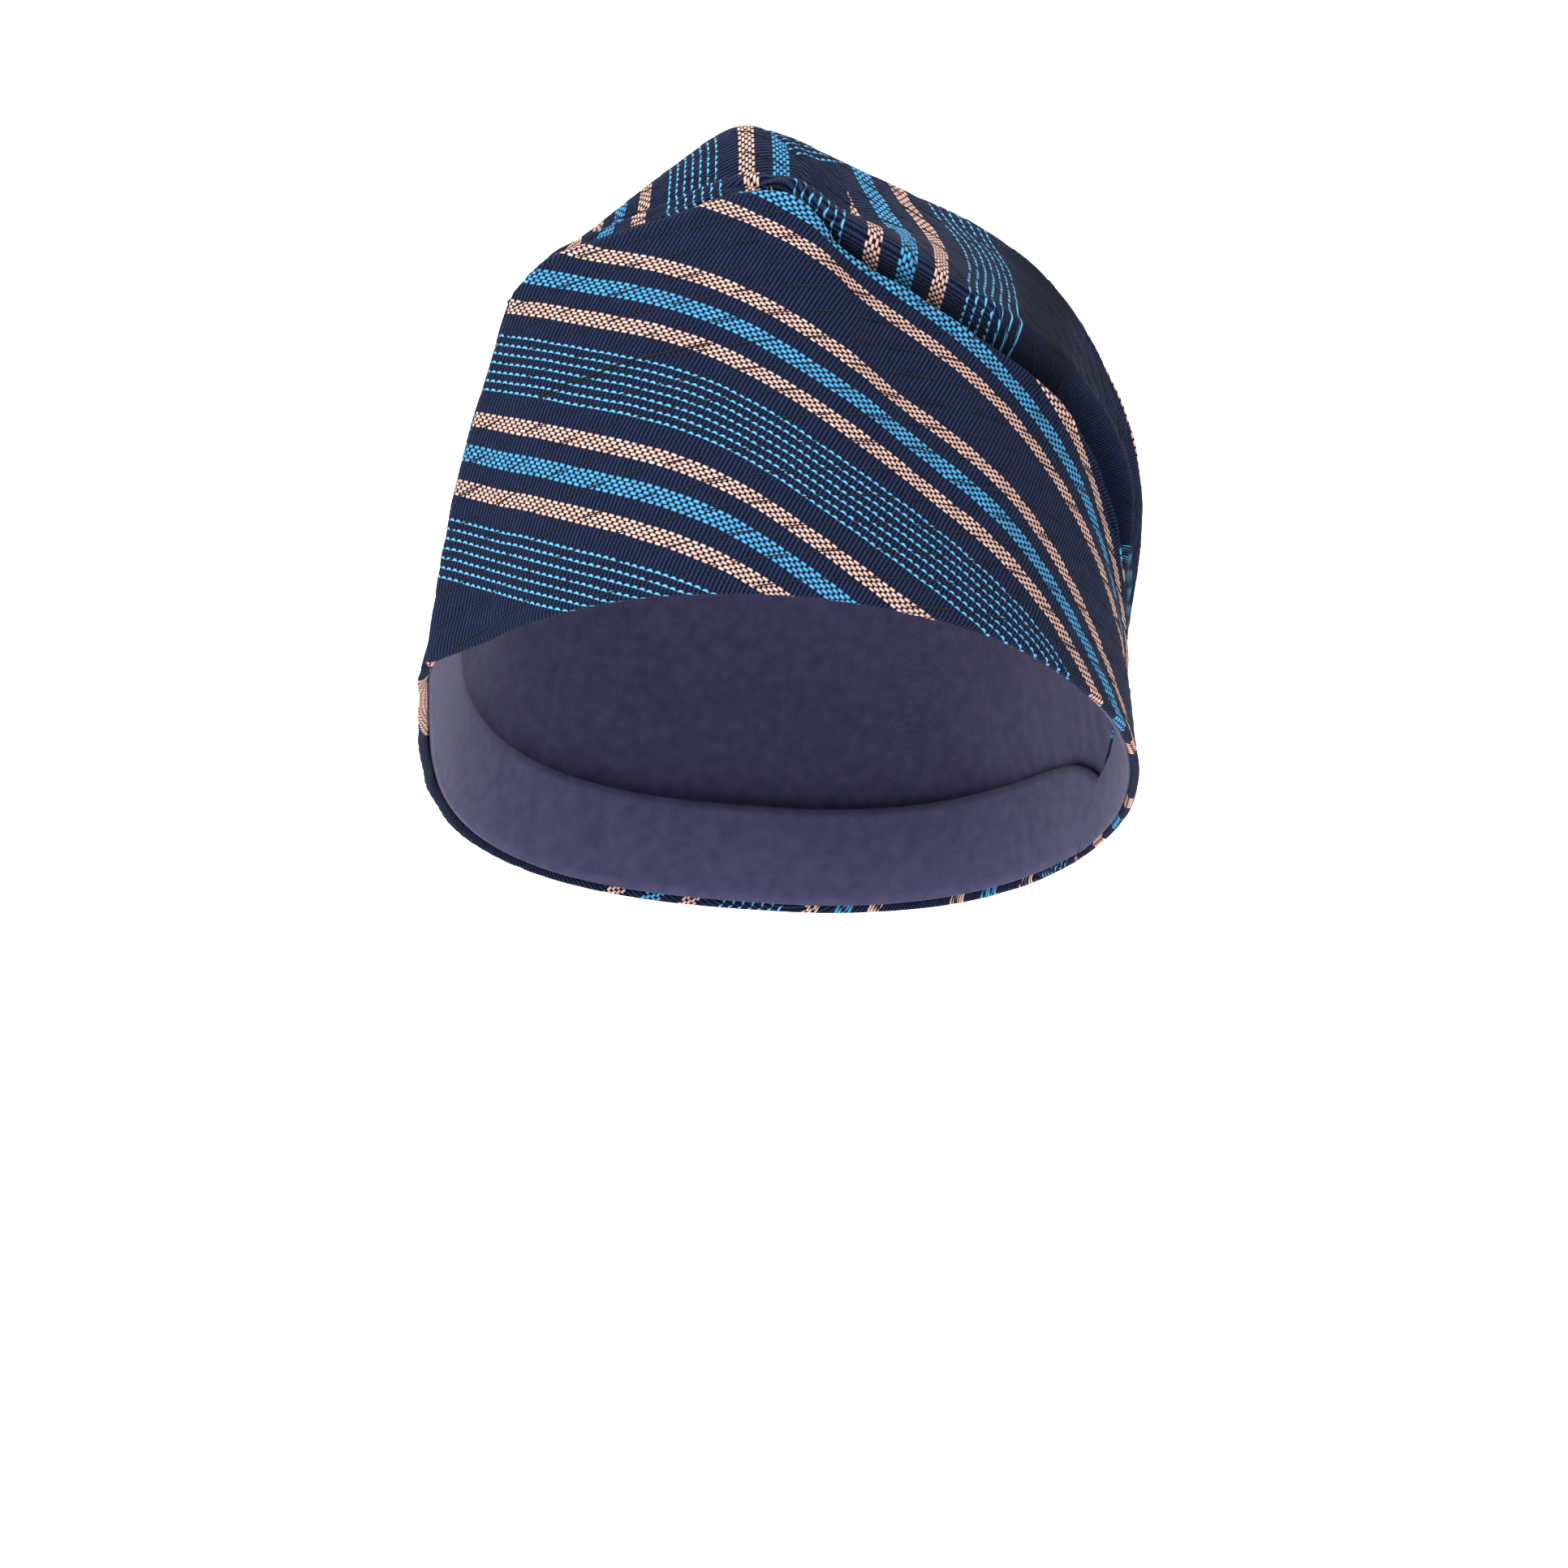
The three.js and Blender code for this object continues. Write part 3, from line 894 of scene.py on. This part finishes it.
@dataclass(frozen=True)
class StripedCloth:
    """The hand-woven cloth: coloured warp floats in a checker on a ribbed navy ground."""

    name: str = "aso_oke"
    pick: float = 1.0
    wander: float = 0.9
    stripe_yarns: float = 5.0
    pin_step: float = 2.4
    float_half_width: float = 0.46
    float_half_length: float = 0.7
    float_edge: tuple[float, float] = (1.35, 0.7)
    # Multiplied into the floats: painted shade towards their edges, with random tone per float.
    float_shade: tuple[float, float, float, float] = linear(110, 85, 90)
    rib_roundness: float = 1.8
    rib_height: float = 0.75
    pin_half_width: tuple[float, float] = (0.22, 0.1)
    pin_wave: float = 0.15
    pin_edge: tuple[float, float] = (0.07, -0.05)
    pin_height: float = 0.8
    fuzz: float = 0.2
    relief: float = 0.5 * MM

    def make(self) -> bpy.types.Material:
        """Make the material.

        Returns:
            The finished material.
        """
        nodes = Nodes(self.name)
        yarns, along = nodes.cloth_place()
        place = nodes.object_place()
        wander = nodes.times(nodes.less(nodes.noise(place, 60.0), 0.5), self.wander)
        yarns = nodes.plus(yarns, wander)
        picks = nodes.plus(nodes.math("DIVIDE", along, self.pick), wander)

        inside, stripe_across, pin_across = self.warp(nodes, yarns)
        stripe_yarn = nodes.plus(stripe_across, self.stripe_yarns / 2.0)
        beside, turn = self.checker(nodes, stripe_yarn, picks)
        reach, floats = self.floats(nodes, beside, turn)
        float_mask = nodes.times(
            nodes.ease(reach, *self.float_edge), nodes.plus(inside[Yarn.SALMON], inside[Yarn.SKY])
        )
        ground_height = self.ribs(nodes, yarns, picks, place)
        pin_mask = nodes.times(self.dashes(nodes, pin_across, picks), inside[Yarn.PALE_SKY])

        # Painted shade: the ground is darkened to NAVY_SHADE in the dips between ribs, by the ribs' height;
        # the mottle below is random tone.
        ground = nodes.mix(ground_height, Yarn.NAVY_SHADE.value, Yarn.NAVY.value)
        mottled = nodes.times(nodes.noise(place, 900.0, 3.0), 0.5)
        ground = nodes.mix(mottled, ground, Yarn.NAVY_SHADE.value)
        colour = nodes.mix(inside[Yarn.SKY], Yarn.SALMON.value, Yarn.SKY.value)
        speckled = nodes.speckle(nodes.math("FLOOR", stripe_yarn), nodes.math("FLOOR", turn))
        # Painted shade: each float is darkened towards its edges by its reach; the speckle adds a random tone
        # per float.
        shade = nodes.plus(nodes.times(speckled, 0.25), nodes.times(reach, 0.25))
        colour = nodes.mix(shade, colour, self.float_shade, "MULTIPLY")
        cloth = nodes.mix(pin_mask, nodes.mix(float_mask, ground, colour), Yarn.PALE_SKY.value)

        height = nodes.times(ground_height, self.rib_height)
        for raised in (nodes.times(float_mask, floats), nodes.times(pin_mask, self.pin_height)):
            height = nodes.math("MAXIMUM", height, raised)
        nodes.bump(nodes.plus(height, nodes.times(nodes.noise(place, 2600.0), self.fuzz)), self.relief)
        nodes.set(Base_Color=cloth, Roughness=0.82, Specular_IOR_Level=0.05)
        nodes.set(Sheen_Weight=0.02, Sheen_Roughness=0.4)
        return nodes.material

    def warp(self, nodes: Nodes, yarns: Socket) -> tuple[dict[Yarn, object], object, object]:
        """Which stripe a place is in, and how far across it.

        Args:
            nodes: The material's nodes.
            yarns: The way across the cloth, in ground yarns.

        Returns:
            A mask for each stripe yarn, and the ways across a stripe and across a zone of pinstripes from its
            middle, counted in their own yarns.
        """
        repeat = nodes.math("FLOORED_MODULO", yarns, WARP_REPEAT)
        inside = {Yarn.SALMON: 0.0, Yarn.SKY: 0.0, Yarn.PALE_SKY: 0.0}
        across = {True: 0.0, False: 0.0}
        for stripe in WARP:
            mask = nodes.math("COMPARE", repeat, stripe.middle, stripe.half_width)
            is_pins = stripe.yarn is Yarn.PALE_SKY
            scale = 1.0 / self.pin_step if is_pins else self.stripe_yarns / (2.0 * stripe.half_width)
            way = nodes.times(nodes.less(repeat, stripe.middle), scale)
            inside[stripe.yarn] = nodes.plus(inside[stripe.yarn], mask)
            across[is_pins] = nodes.math("MULTIPLY_ADD", mask, way, across[is_pins])
        return inside, across[False], across[True]

    def checker(self, nodes: Nodes, yarn: Socket, picks: Socket) -> tuple[Socket, Socket]:
        """Way off the middle of a place's own yarn, and its turns of two picks, out of step on odd yarns."""
        turn = nodes.math("DIVIDE", nodes.plus(picks, nodes.odd(yarn)), 2.0)
        return nodes.less(nodes.math("FRACT", yarn), 0.5), turn

    def floats(self, nodes: Nodes, beside: Socket, turn: Socket) -> tuple[Socket, Socket]:
        """Reach from the middle of a short float, one on every second pick of each yarn, and its height."""
        ahead = nodes.less(nodes.times(nodes.math("FRACT", turn), 2.0), 1.0)
        width = nodes.power(nodes.math("DIVIDE", beside, self.float_half_width), 3.0)
        length = nodes.power(nodes.math("DIVIDE", ahead, self.float_half_length), 3.0)
        reach = nodes.plus(width, length)
        return reach, nodes.less(1.0, nodes.times(reach, 0.5))

    def ribs(self, nodes: Nodes, yarns: Socket, picks: Socket, place: Socket) -> Socket:
        """Height of the ground: ribs across the stripes, each with a faint bead for each yarn."""
        rib = nodes.math("POWER", nodes.wave(picks), self.rib_roundness)
        beads = nodes.plus(yarns, nodes.times(nodes.odd(picks), 0.5))
        bead = nodes.plus(nodes.times(nodes.wave(beads), 0.35), 0.65)
        uneven = nodes.plus(nodes.times(nodes.noise(place, 420.0), 0.7), 0.5)
        return nodes.times(nodes.times(rib, bead), uneven)

    def dashes(self, nodes: Nodes, across: Socket, picks: Socket) -> Socket:
        """Mask of the pinstripes: thin wavy dashes, thinner still where they dive."""
        beside, turn = self.checker(nodes, nodes.plus(across, 0.5), picks)
        wave = nodes.math("COSINE", nodes.times(turn, math.tau))
        centre = nodes.plus(nodes.times(beside, self.pin_step), nodes.times(wave, self.pin_wave))
        middle, swing = self.pin_half_width
        half_width = nodes.less(middle, nodes.times(wave, swing))
        dash = nodes.ease(nodes.less(nodes.math("ABSOLUTE", centre), half_width), *self.pin_edge)
        high = nodes.plus(nodes.times(nodes.ease(wave, 1.0, 0.2), 0.8), 0.2)
        return nodes.times(dash, high)


@dataclass(frozen=True)
class PlainCloth:
    """Plain fine cloth, as of the lining."""

    name: str = "lining"
    # Painted shade: both lining colours are darkened for the shade inside the cap; the mix between them
    # follows the weave and a random mottle.
    colour: tuple[float, float, float, float] = linear(94, 91, 130)
    shade: tuple[float, float, float, float] = linear(50, 48, 78)
    thread: float = 0.45
    relief: float = 0.02 * MM

    def make(self) -> bpy.types.Material:
        """Make the material.

        Returns:
            The finished material.
        """
        nodes = Nodes(self.name)
        turns = math.tau / self.thread
        across, along = (nodes.math("SINE", nodes.times(way, turns)) for way in nodes.cloth_place())
        weave = nodes.plus(nodes.times(across, along), 1.0)
        mottled = nodes.noise(nodes.object_place(), 300.0, 3.0)
        share = nodes.plus(nodes.times(weave, 0.08), nodes.times(mottled, 0.7))
        nodes.bump(weave, self.relief)
        colour = nodes.mix(share, self.shade, self.colour)
        nodes.set(Base_Color=colour, Roughness=0.9, Sheen_Weight=0.2, Specular_IOR_Level=0.2)
        return nodes.material


@dataclass(frozen=True)
class PlainFinish:
    """A single matt finish with a little unevenness."""

    name: str
    colour: tuple[float, float, float, float]
    roughness: float = 0.8
    grain: float = 40.0

    def make(self) -> bpy.types.Material:
        """Make the material.

        Returns:
            The finished material.
        """
        nodes = Nodes(self.name)
        grain = nodes.noise(nodes.object_place(), self.grain)
        dark = (*(0.94 * value for value in self.colour[:3]), 1.0)
        nodes.set(Base_Color=nodes.mix(grain, dark, self.colour), Roughness=self.roughness)
        return nodes.material


def finish_mesh(
    name: str, mesh: bmesh.types.BMesh, materials: Sequence[bpy.types.Material]
) -> bpy.types.Object:
    """Turn a bmesh into a smooth object at the origin.

    Args:
        name: The object's name.
        mesh: The bmesh, which is freed.
        materials: Its material slots in order.

    Returns:
        The linked object.
    """
    data = bpy.data.meshes.new(name)
    mesh.to_mesh(data)
    mesh.free()
    for material in materials:
        data.materials.append(material)
    for polygon in data.polygons:
        polygon.use_smooth = True
    piece = bpy.data.objects.new(name, data)
    bpy.context.scene.collection.objects.link(piece)
    return piece


def dress(piece: bpy.types.Object, node: str) -> None:
    """Set a finished piece in its place in the model and report it.

    Args:
        piece: The piece.
        node: The solid that it stands for.
    """
    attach(piece, "root")
    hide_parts(node)
    LOG.info("%s: %d faces, for %s", piece.name, len(piece.data.polygons), node)


def grid_mesh(
    columns: int,
    rows: int,
    place: Callable[[int, int], Vector],
    weave: Callable[[int, int, tuple[int, int]], tuple[float, float]],
) -> bmesh.types.BMesh:
    """A grid whose vertices are moved to places, and whose UV map holds the ways across and along the cloth.

    Args:
        columns: Steps across.
        rows: Steps up.
        place: Gives the point of a column and row.
        weave: Gives the ways across and along the cloth of a column and row, for a face that starts at a
            column and row of its own.

    Returns:
        The bmesh.
    """
    mesh = bmesh.new()
    layer = mesh.loops.layers.uv.new(UV_NAME)
    bmesh.ops.create_grid(mesh, x_segments=columns, y_segments=rows, size=0.5)
    for vertex in mesh.verts:
        column = round((vertex.co.x + 0.5) * columns)
        row = round((vertex.co.y + 0.5) * rows)
        vertex.index = column * (rows + 1) + row
        vertex.co = place(column, row)
    for face in mesh.faces:
        start = divmod(min(vertex.index for vertex in face.verts), rows + 1)
        for loop in face.loops:
            column, row = divmod(loop.vert.index, rows + 1)
            loop[layer].uv = [way / UV_SPAN for way in weave(column, row, start)]
    return mesh


@dataclass(frozen=True)
class Slope:
    """Ground yarns across: at the start, and more for each millimetre right and each one the other way."""

    start: float
    right: float
    other: float

    def at(self, right: float, other: float) -> float:
        """The yarns at a place."""
        return self.start + self.right * right + self.other * other


@dataclass(frozen=True)
class StripeLayout:
    """Where the stripes fall on each panel's flat cloth: in ground yarns across, in millimetres along."""

    front_yarns: Slope = Slope(-4.04, 0.0412, 1.034)
    front_bow: tuple[float, float, float] = (0.00045, -0.00063, 0.00066)
    front_slope: float = math.radians(4.0)
    bend_yarns: float = 2.3
    bend_at: float = 70.0
    bend_lean: float = 0.47
    bend_from: float = 100.0
    bend_reach: float = 25.0
    fine: float = 1.07
    back_lean: float = math.radians(37.2)
    settle: float = 45.0
    left_yarns: Slope = Slope(94.6, 1.104, 0.0)
    left_start: float = 67.0
    right_yarns: Slope = Slope(72.7, -0.953, -0.229)
    right_start: float = 70.9
    right_lean: float = 0.24
    turn_at: float = 62.0
    turn_run: float = 24.0
    turn_below: float = 25.0
    turn_spread: float = 0.6
    crest_start: float = -3.7
    crest_step: float = 0.67
    crest_front: float = 17.0
    hem_at: float = 150.0
    hem_step: float = 1.31
    gusset_start: float = 82.0
    gusset_end: float = 63.5
    gusset_way: tuple[float, float] = (0.6, 0.8)

    def front(self, flat: Vector) -> tuple[float, float]:
        """Ways on the front panel, whose stripes run almost level from the temple seam.

        Args:
            flat: The flat place.

        Returns:
            The ways across and along. The stripes bend where the cloth creases over the brow.
        """
        right, high = flat.x / MM, flat.y / MM
        off = (right - self.bend_at - self.bend_lean * (self.bend_from - high)) / self.bend_reach
        bend = self.bend_yarns * off * math.exp(0.5 - 0.5 * off * off)
        rightwards, twisted, upwards = self.front_bow
        bow = rightwards * right * right + twisted * right * high + upwards * high * high
        along = right * math.cos(self.front_slope) - high * math.sin(self.front_slope)
        return self.front_yarns.at(right, high) + bend + bow, along

    def slanted(self, start: float, side: float, right: float, below: float) -> Vector:
        """Ways far behind the crest, where the stripes slant down the back.

        Args:
            start: Way across at the middle line's crest.
            side: 1 left of the seam, -1 right of it, where the cloth is turned over.
            right: Way right of the middle line, in millimetres.
            below: Way below the crest, in millimetres.

        Returns:
            The ways across and along.
        """
        level, steep = math.cos(self.back_lean), math.sin(self.back_lean)
        across = start + side * self.fine * (level * right - steep * below)
        return Vector((across, steep * right + level * below))

    def back_left(self, flat: Vector) -> tuple[float, float]:
        """Ways on the back panel from the temple seam to its own seam."""
        right, below = flat.x / MM, flat.y / MM
        upright = Vector((self.left_yarns.at(right, below), below))
        slanted = self.slanted(self.left_start, 1.0, right, below)
        return tuple(upright.lerp(slanted, smooth(below / self.settle)))

    def back_right(self, flat: Vector) -> tuple[float, float]:
        """Ways on the back panel beyond its seam.

        Args:
            flat: The flat place.

        Returns:
            The ways across and along. At the far end the stripes turn along the crest.
        """
        right, below = flat.x / MM, flat.y / MM
        upright = Vector((self.right_yarns.at(right, below), below - self.right_lean * right))
        slanted = self.slanted(self.right_start, -1.0, right, below)
        settled = upright.lerp(slanted, smooth(below / self.settle))
        from_crest = self.crest_step * below if below > 0.0 else min(-below, self.crest_front)
        at_hem = self.hem_step * max(right - self.hem_at, 0.0)
        level = Vector((self.crest_start + from_crest + at_hem, right))
        run = self.turn_run + self.turn_spread * max(below - self.turn_below, 0.0)
        return tuple(settled.lerp(level, smooth((right - self.turn_at) / run)))

    def gusset(self, flat: Vector) -> tuple[float, float]:
        """Ways behind the valley just right of the seam, where the stripes rise to the right."""
        right, below = flat.x / MM, flat.y / MM
        less, more = self.gusset_way
        across = self.gusset_start - self.fine * (less * right - more * below)
        return max(across, self.gusset_end), more * right + less * below


@dataclass
class ClothPanels:
    """The two cloth panels, each a fine sheet with its stripes laid out on the flat cloth."""

    shape: CapShape
    cloth: bpy.types.Material
    reverse: bpy.types.Material
    thread: bpy.types.Material
    layout: StripeLayout = field(default_factory=StripeLayout)
    columns: int = 230
    span_rows: dict[Panel, tuple[int, ...]] = field(
        default_factory=lambda: {
            Panel.FRONT: (16, 16, 16, 13, 8, 6, 6),
            Panel.BACK: (6, 6, 6, 8, 8, 8, 18, 18, 18, 18),
        }
    )
    cloth_wall: float = 0.9 * MM

    def build(self, panel: Panel) -> None:
        """Make one panel and its quilting.

        Args:
            panel: Which panel.
        """
        sheet = Sheet(panel, self.shape, self.columns, self.span_rows[panel])
        sheet.build()

        def weave(column: int, row: int, start: tuple[int, int]) -> tuple[float, float]:
            """Ways across and along the cloth at a point of a face."""
            flat = sheet.spots[column][row].flat
            if sheet.is_front:
                return self.layout.front(flat)
            if sheet.in_gusset(*start):
                return self.layout.gusset(flat)
            is_left = start[0] < sheet.seam_column
            return self.layout.back_left(flat) if is_left else self.layout.back_right(flat)

        def place(column: int, row: int) -> Vector:
            """Point of the outer face."""
            return sheet.spots[column][row].face

        mesh = grid_mesh(self.columns, sheet.all_rows, place, weave)
        name = panel.value.split("_")[0]
        shares = mesh.verts.layers.deform.verify()
        for vertex in mesh.verts:
            vertex[shares][0] = sheet.wall_share(*divmod(vertex.index, sheet.all_rows + 1))
        piece = finish_mesh(f"{name}_cloth", mesh, [self.cloth, self.reverse])
        piece.vertex_groups.new(name="wall share")
        wall = piece.modifiers.new("cloth wall", "SOLIDIFY")
        wall.vertex_group = "wall share"
        wall.thickness = self.cloth_wall
        wall.offset = -1.0
        wall.material_offset = 1
        wall.material_offset_rim = 0
        dress(piece, panel.value)
        dress(Quilting(self.thread).build(f"{name}_quilting", sheet), panel.value)


@dataclass
class Quilting:
    """Long hand stitches of dark thread in slanting rows over a panel."""

    thread: bpy.types.Material
    radius: float = 0.17 * MM
    sides: int = 5
    ring_step: float = 2.2 * MM
    stitch: tuple[float, float] = (8.0 * MM, 16.0 * MM)
    gap: tuple[float, float] = (0.8 * MM, 1.6 * MM)
    sink: float = 0.35 * MM
    proud: float = 0.1 * MM
    loose_from: tuple[float, float] = (19.0 * MM, 66.0 * MM)
    loose_to: tuple[float, float] = (56.5 * MM, 89.5 * MM)
    loose_radius: float = 0.24 * MM
    knots: tuple[tuple[float, float], ...] = ((30.0 * MM, 108.5 * MM), (48.0 * MM, 114.0 * MM))
    loose_steps: int = 20
    knot_radius: float = 0.55 * MM
    knot_squash: tuple[float, float, float] = (1.0, 0.7, 0.6)

    def build(self, name: str, sheet: Sheet) -> bpy.types.Object:
        """Make the stitches of one panel.

        Args:
            name: The piece's name.
            sheet: The panel.

        Returns:
            The finished piece.
        """
        chance = random.Random(name)
        mesh = bmesh.new()
        for _, run in sheet.quilt_rows():
            lengths = running_lengths([spot.face for spot in run])
            start = chance.uniform(*self.gap)
            while True:
                end = start + chance.uniform(*self.stitch)
                if end > lengths[-1] - self.gap[0]:
                    break
                spots = [self.spot_at(run, lengths, way) for way in self.rings(start, end)]
                self.add_stitch(mesh, spots, self.radius, self.proud)
                start = end + chance.uniform(*self.gap)
        if sheet.is_front:
            self.add_loose_ends(mesh, sheet)
        bmesh.ops.remove_doubles(mesh, verts=mesh.verts, dist=0.002 * MM)
        return finish_mesh(name, mesh, [self.thread])

    def add_loose_ends(self, mesh: bmesh.types.BMesh, sheet: Sheet) -> None:
        """Add the long doubled thread and the knots at the temple.

        Args:
            mesh: The bmesh that gets them.
            sheet: The front panel.
        """
        first, last = Vector(self.loose_from), Vector(self.loose_to)
        count = self.loose_steps
        line = [sheet.nearest(*first.lerp(last, step / count)) for step in range(count + 1)]
        for _ in range(3):
            line[1:-1] = [self.between(*near) for near in zip(line, line[1:], line[2:])]
        self.add_stitch(mesh, line, self.loose_radius, self.loose_radius)
        for knot in self.knots:
            spot = sheet.nearest(*knot)
            place = Matrix.Translation(spot.face) @ spot.out.to_track_quat("Z", "Y").to_matrix().to_4x4()
            place @= Matrix.Diagonal((*self.knot_squash, 1.0))
            bmesh.ops.create_icosphere(mesh, subdivisions=2, radius=self.knot_radius, matrix=place)

    def between(self, before: Spot, own: Spot, after: Spot) -> Spot:
        """A spot drawn half way to the middle of its neighbours."""
        return Spot(own.face.lerp(before.face.lerp(after.face, 0.5), 0.5), own.out, own.flat)

    def rings(self, start: float, end: float) -> list[float]:
        """Places of a stitch's rings between its ends."""
        count = max(3, round((end - start) / self.ring_step))
        return [start + (end - start) * step / count for step in range(count + 1)]

    def spot_at(self, run: Sequence[Spot], lengths: Sequence[float], way: float) -> Spot:
        """Place on a row at a length from its start."""
        index = 0
        while index < len(lengths) - 2 and lengths[index + 1] < way:
            index += 1
        share = (way - lengths[index]) / max(lengths[index + 1] - lengths[index], 1e-9)
        return run[index].toward(run[index + 1], share)

    def add_stitch(
        self, mesh: bmesh.types.BMesh, spots: Sequence[Spot], radius: float, proud: float
    ) -> None:
        """Wrap a strip round the line of one stitch, which dives into the cloth at both ends.

        Args:
            mesh: The bmesh that gets the stitch.
            spots: The places under its rings.
            radius: The thread's radius.
            proud: Height of its middle over the cloth.
        """
        count = len(spots) - 1
        strip = bmesh.ops.create_grid(mesh, x_segments=count, y_segments=self.sides, size=0.5)["verts"]
        for vertex in strip:
            ring = round((vertex.co.x + 0.5) * count)
            turn = (vertex.co.y + 0.5) * math.tau
            spot = spots[ring]
            heading = (spots[min(ring + 1, count)].face - spots[max(ring - 1, 0)].face).normalized()
            out = spot.out.normalized()
            side = out.cross(heading).normalized()
            height = -self.sink if ring in (0, count) else proud
            round_it = side * math.cos(turn) + out * math.sin(turn)
            vertex.co = spot.face + out * height + round_it * radius


@dataclass
class LiningBand:
    """The plain band inside the hem."""

    shape: CapShape
    cloth: bpy.types.Material
    columns: int = 160
    rows: int = 10
    height: float = 24 * MM
    setback: float = 1.8 * MM
    inset: float = 1.4 * MM
    wall: float = 0.9 * MM
    near_hem: float = 0.14
    ripple: float = 0.2 * MM
    ripple_turns: float = 60.0

    def foot(self, column: int) -> tuple[Vector, Vector]:
        """Hem point and a point further up, for a column of the ring."""
        half = self.columns // 2
        side, step = divmod(column % self.columns, half)
        share = step / half
        if side == 0:
            return self.shape.front_point(share, 0.0), self.shape.front_point(share, self.near_hem)
        back = 1.0 - share
        return self.shape.back_point(back, 1.0), self.shape.back_point(back, 1.0 - self.near_hem)

    def build(self) -> None:
        """Make the band as one ring."""
        count = self.columns
        feet = [self.foot(column) for column in range(count)]
        middle = sum((low for low, _ in feet), Vector()) / count

        def place(column: int, row: int) -> Vector:
            """Point on the band's outer face."""
            low, high = feet[column % count]
            before, after = feet[(column - 1) % count][0], feet[(column + 1) % count][0]
            rise = (high - low).normalized()
            normal = (after - before).cross(rise).normalized()
            if normal.dot(low - middle) < 0.0:
                normal.negate()
            ripple = self.ripple * noise.noise(low * self.ripple_turns + rise * row)
            up = self.setback + self.height * row / self.rows
            return low + rise * up - normal * (self.inset + ripple)

        around = running_lengths([feet[column % count][0] for column in range(count + 1)])
        rise = self.height / self.rows / MM
        mesh = grid_mesh(count, self.rows, place, lambda column, row, _: (around[column] / MM, rise * row))
        bmesh.ops.remove_doubles(mesh, verts=mesh.verts, dist=0.01 * MM)
        piece = finish_mesh("lining_cloth", mesh, [self.cloth])
        wall = piece.modifiers.new("cloth wall", "SOLIDIFY")
        wall.thickness = self.wall
        wall.offset = -1.0
        dress(piece, "lining_band")


@dataclass(frozen=True)
class SoftBox:
    """A square soft light."""

    name: str
    place: tuple[float, float, float]
    aim: tuple[float, float, float]
    size: float
    power: float


@dataclass
class Studio:
    """Floor, backdrop, lights and the camera."""

    camera_distance: float = 1.8
    pixels_per_metre: float = 5190.0
    picture_side: int = 1932
    aim_x: float = 1.16 * MM
    aim_z: float = -5.4 * MM
    floor_level: float = -0.3
    floor_front: float = -3.0
    floor_half_width: float = 6.0
    floor_flat: float = 5.0
    floor_bend: float = 1.5
    floor_run: float = 8.0
    wall_stretch: float = 3.0
    ambient: float = 0.5
    lights: tuple[SoftBox, ...] = (
        SoftBox("key", (-1.3, -1.5, 1.0), (0.0, 0.0, 0.06), 0.9, 44.0),
        SoftBox("fill", (1.3, -1.4, 0.5), (0.0, 0.0, 0.06), 1.2, 13.0),
        SoftBox("top", (0.1, 0.5, 1.6), (0.0, 0.0, 0.06), 1.0, 14.0),
        SoftBox("backdrop", (0.0, 0.9, 1.5), (0.0, 3.0, 0.0), 1.6, 90.0),
    )

    def build(self) -> None:
        """Make the studio."""
        self.make_floor()
        self.make_lights()
        self.make_camera()

    def make_floor(self) -> None:
        """A pale floor that curves up into the backdrop."""
        mesh = bmesh.new()
        bmesh.ops.create_grid(mesh, x_segments=2, y_segments=40, size=1.0)
        for vertex in mesh.verts:
            beyond = (vertex.co.y + 1.0) / 2.0 * self.floor_run - self.floor_flat
            turn = min(max(beyond / self.floor_bend, 0.0), 1.0) * math.pi / 2.0
            depth = self.floor_flat + min(beyond, 0.0) + math.sin(turn)
            height = 1.0 - math.cos(turn) + max(beyond - self.floor_bend, 0.0) * self.wall_stretch
            place = (vertex.co.x * self.floor_half_width, self.floor_front + depth, self.floor_level + height)
            vertex.co = Vector(place)
        paper = PlainFinish("pale_paper", (0.93, 0.93, 0.93, 1.0), 0.9).make()
        finish_mesh("floor", mesh, [paper])

    def make_lights(self) -> None:
        """Soft even light from all round, with a large soft box at the upper left."""
        world = bpy.data.worlds.new("studio")
        bpy.context.scene.world = world
        world.use_nodes = True
        background = world.node_tree.nodes["Background"]
        background.inputs["Color"].default_value = (1.0, 1.0, 1.0, 1.0)
        background.inputs["Strength"].default_value = self.ambient
        for box in self.lights:
            data = bpy.data.lights.new(box.name, "AREA")
            data.size, data.energy = box.size, box.power
            lamp = bpy.data.objects.new(box.name, data)
            lamp.location = box.place
            way = Vector(box.aim) - Vector(box.place)
            lamp.rotation_euler = way.to_track_quat("-Z", "Y").to_euler()
            bpy.context.scene.collection.objects.link(lamp)
        bpy.context.scene.view_settings.view_transform = "Standard"

    def make_camera(self) -> None:
        """The camera stands level, where the photograph was taken from."""
        data = bpy.data.cameras.new("camera")
        half_view = self.picture_side / 2.0 / self.pixels_per_metre
        data.sensor_width = 36.0
        data.lens = data.sensor_width / 2.0 * self.camera_distance / half_view
        camera = bpy.data.objects.new("camera", data)
        camera.location = (self.aim_x, -self.camera_distance, self.aim_z)
        camera.rotation_euler = (math.pi / 2.0, 0.0, 0.0)
        bpy.context.scene.collection.objects.link(camera)
        bpy.context.scene.camera = camera


def main() -> None:
    """Build the studio and the cap."""
    logging.basicConfig(level=logging.INFO, format="%(message)s")
    Studio().build()
    shape = CapShape()
    lining = PlainCloth().make()
    thread = PlainFinish("thread", linear(11, 12, 20), 0.9, 2500.0).make()
    panels = ClothPanels(shape, StripedCloth().make(), lining, thread)
    for panel in Panel:
        panels.build(panel)
    LiningBand(shape, lining).build()


if __name__ == "__main__":
    main()
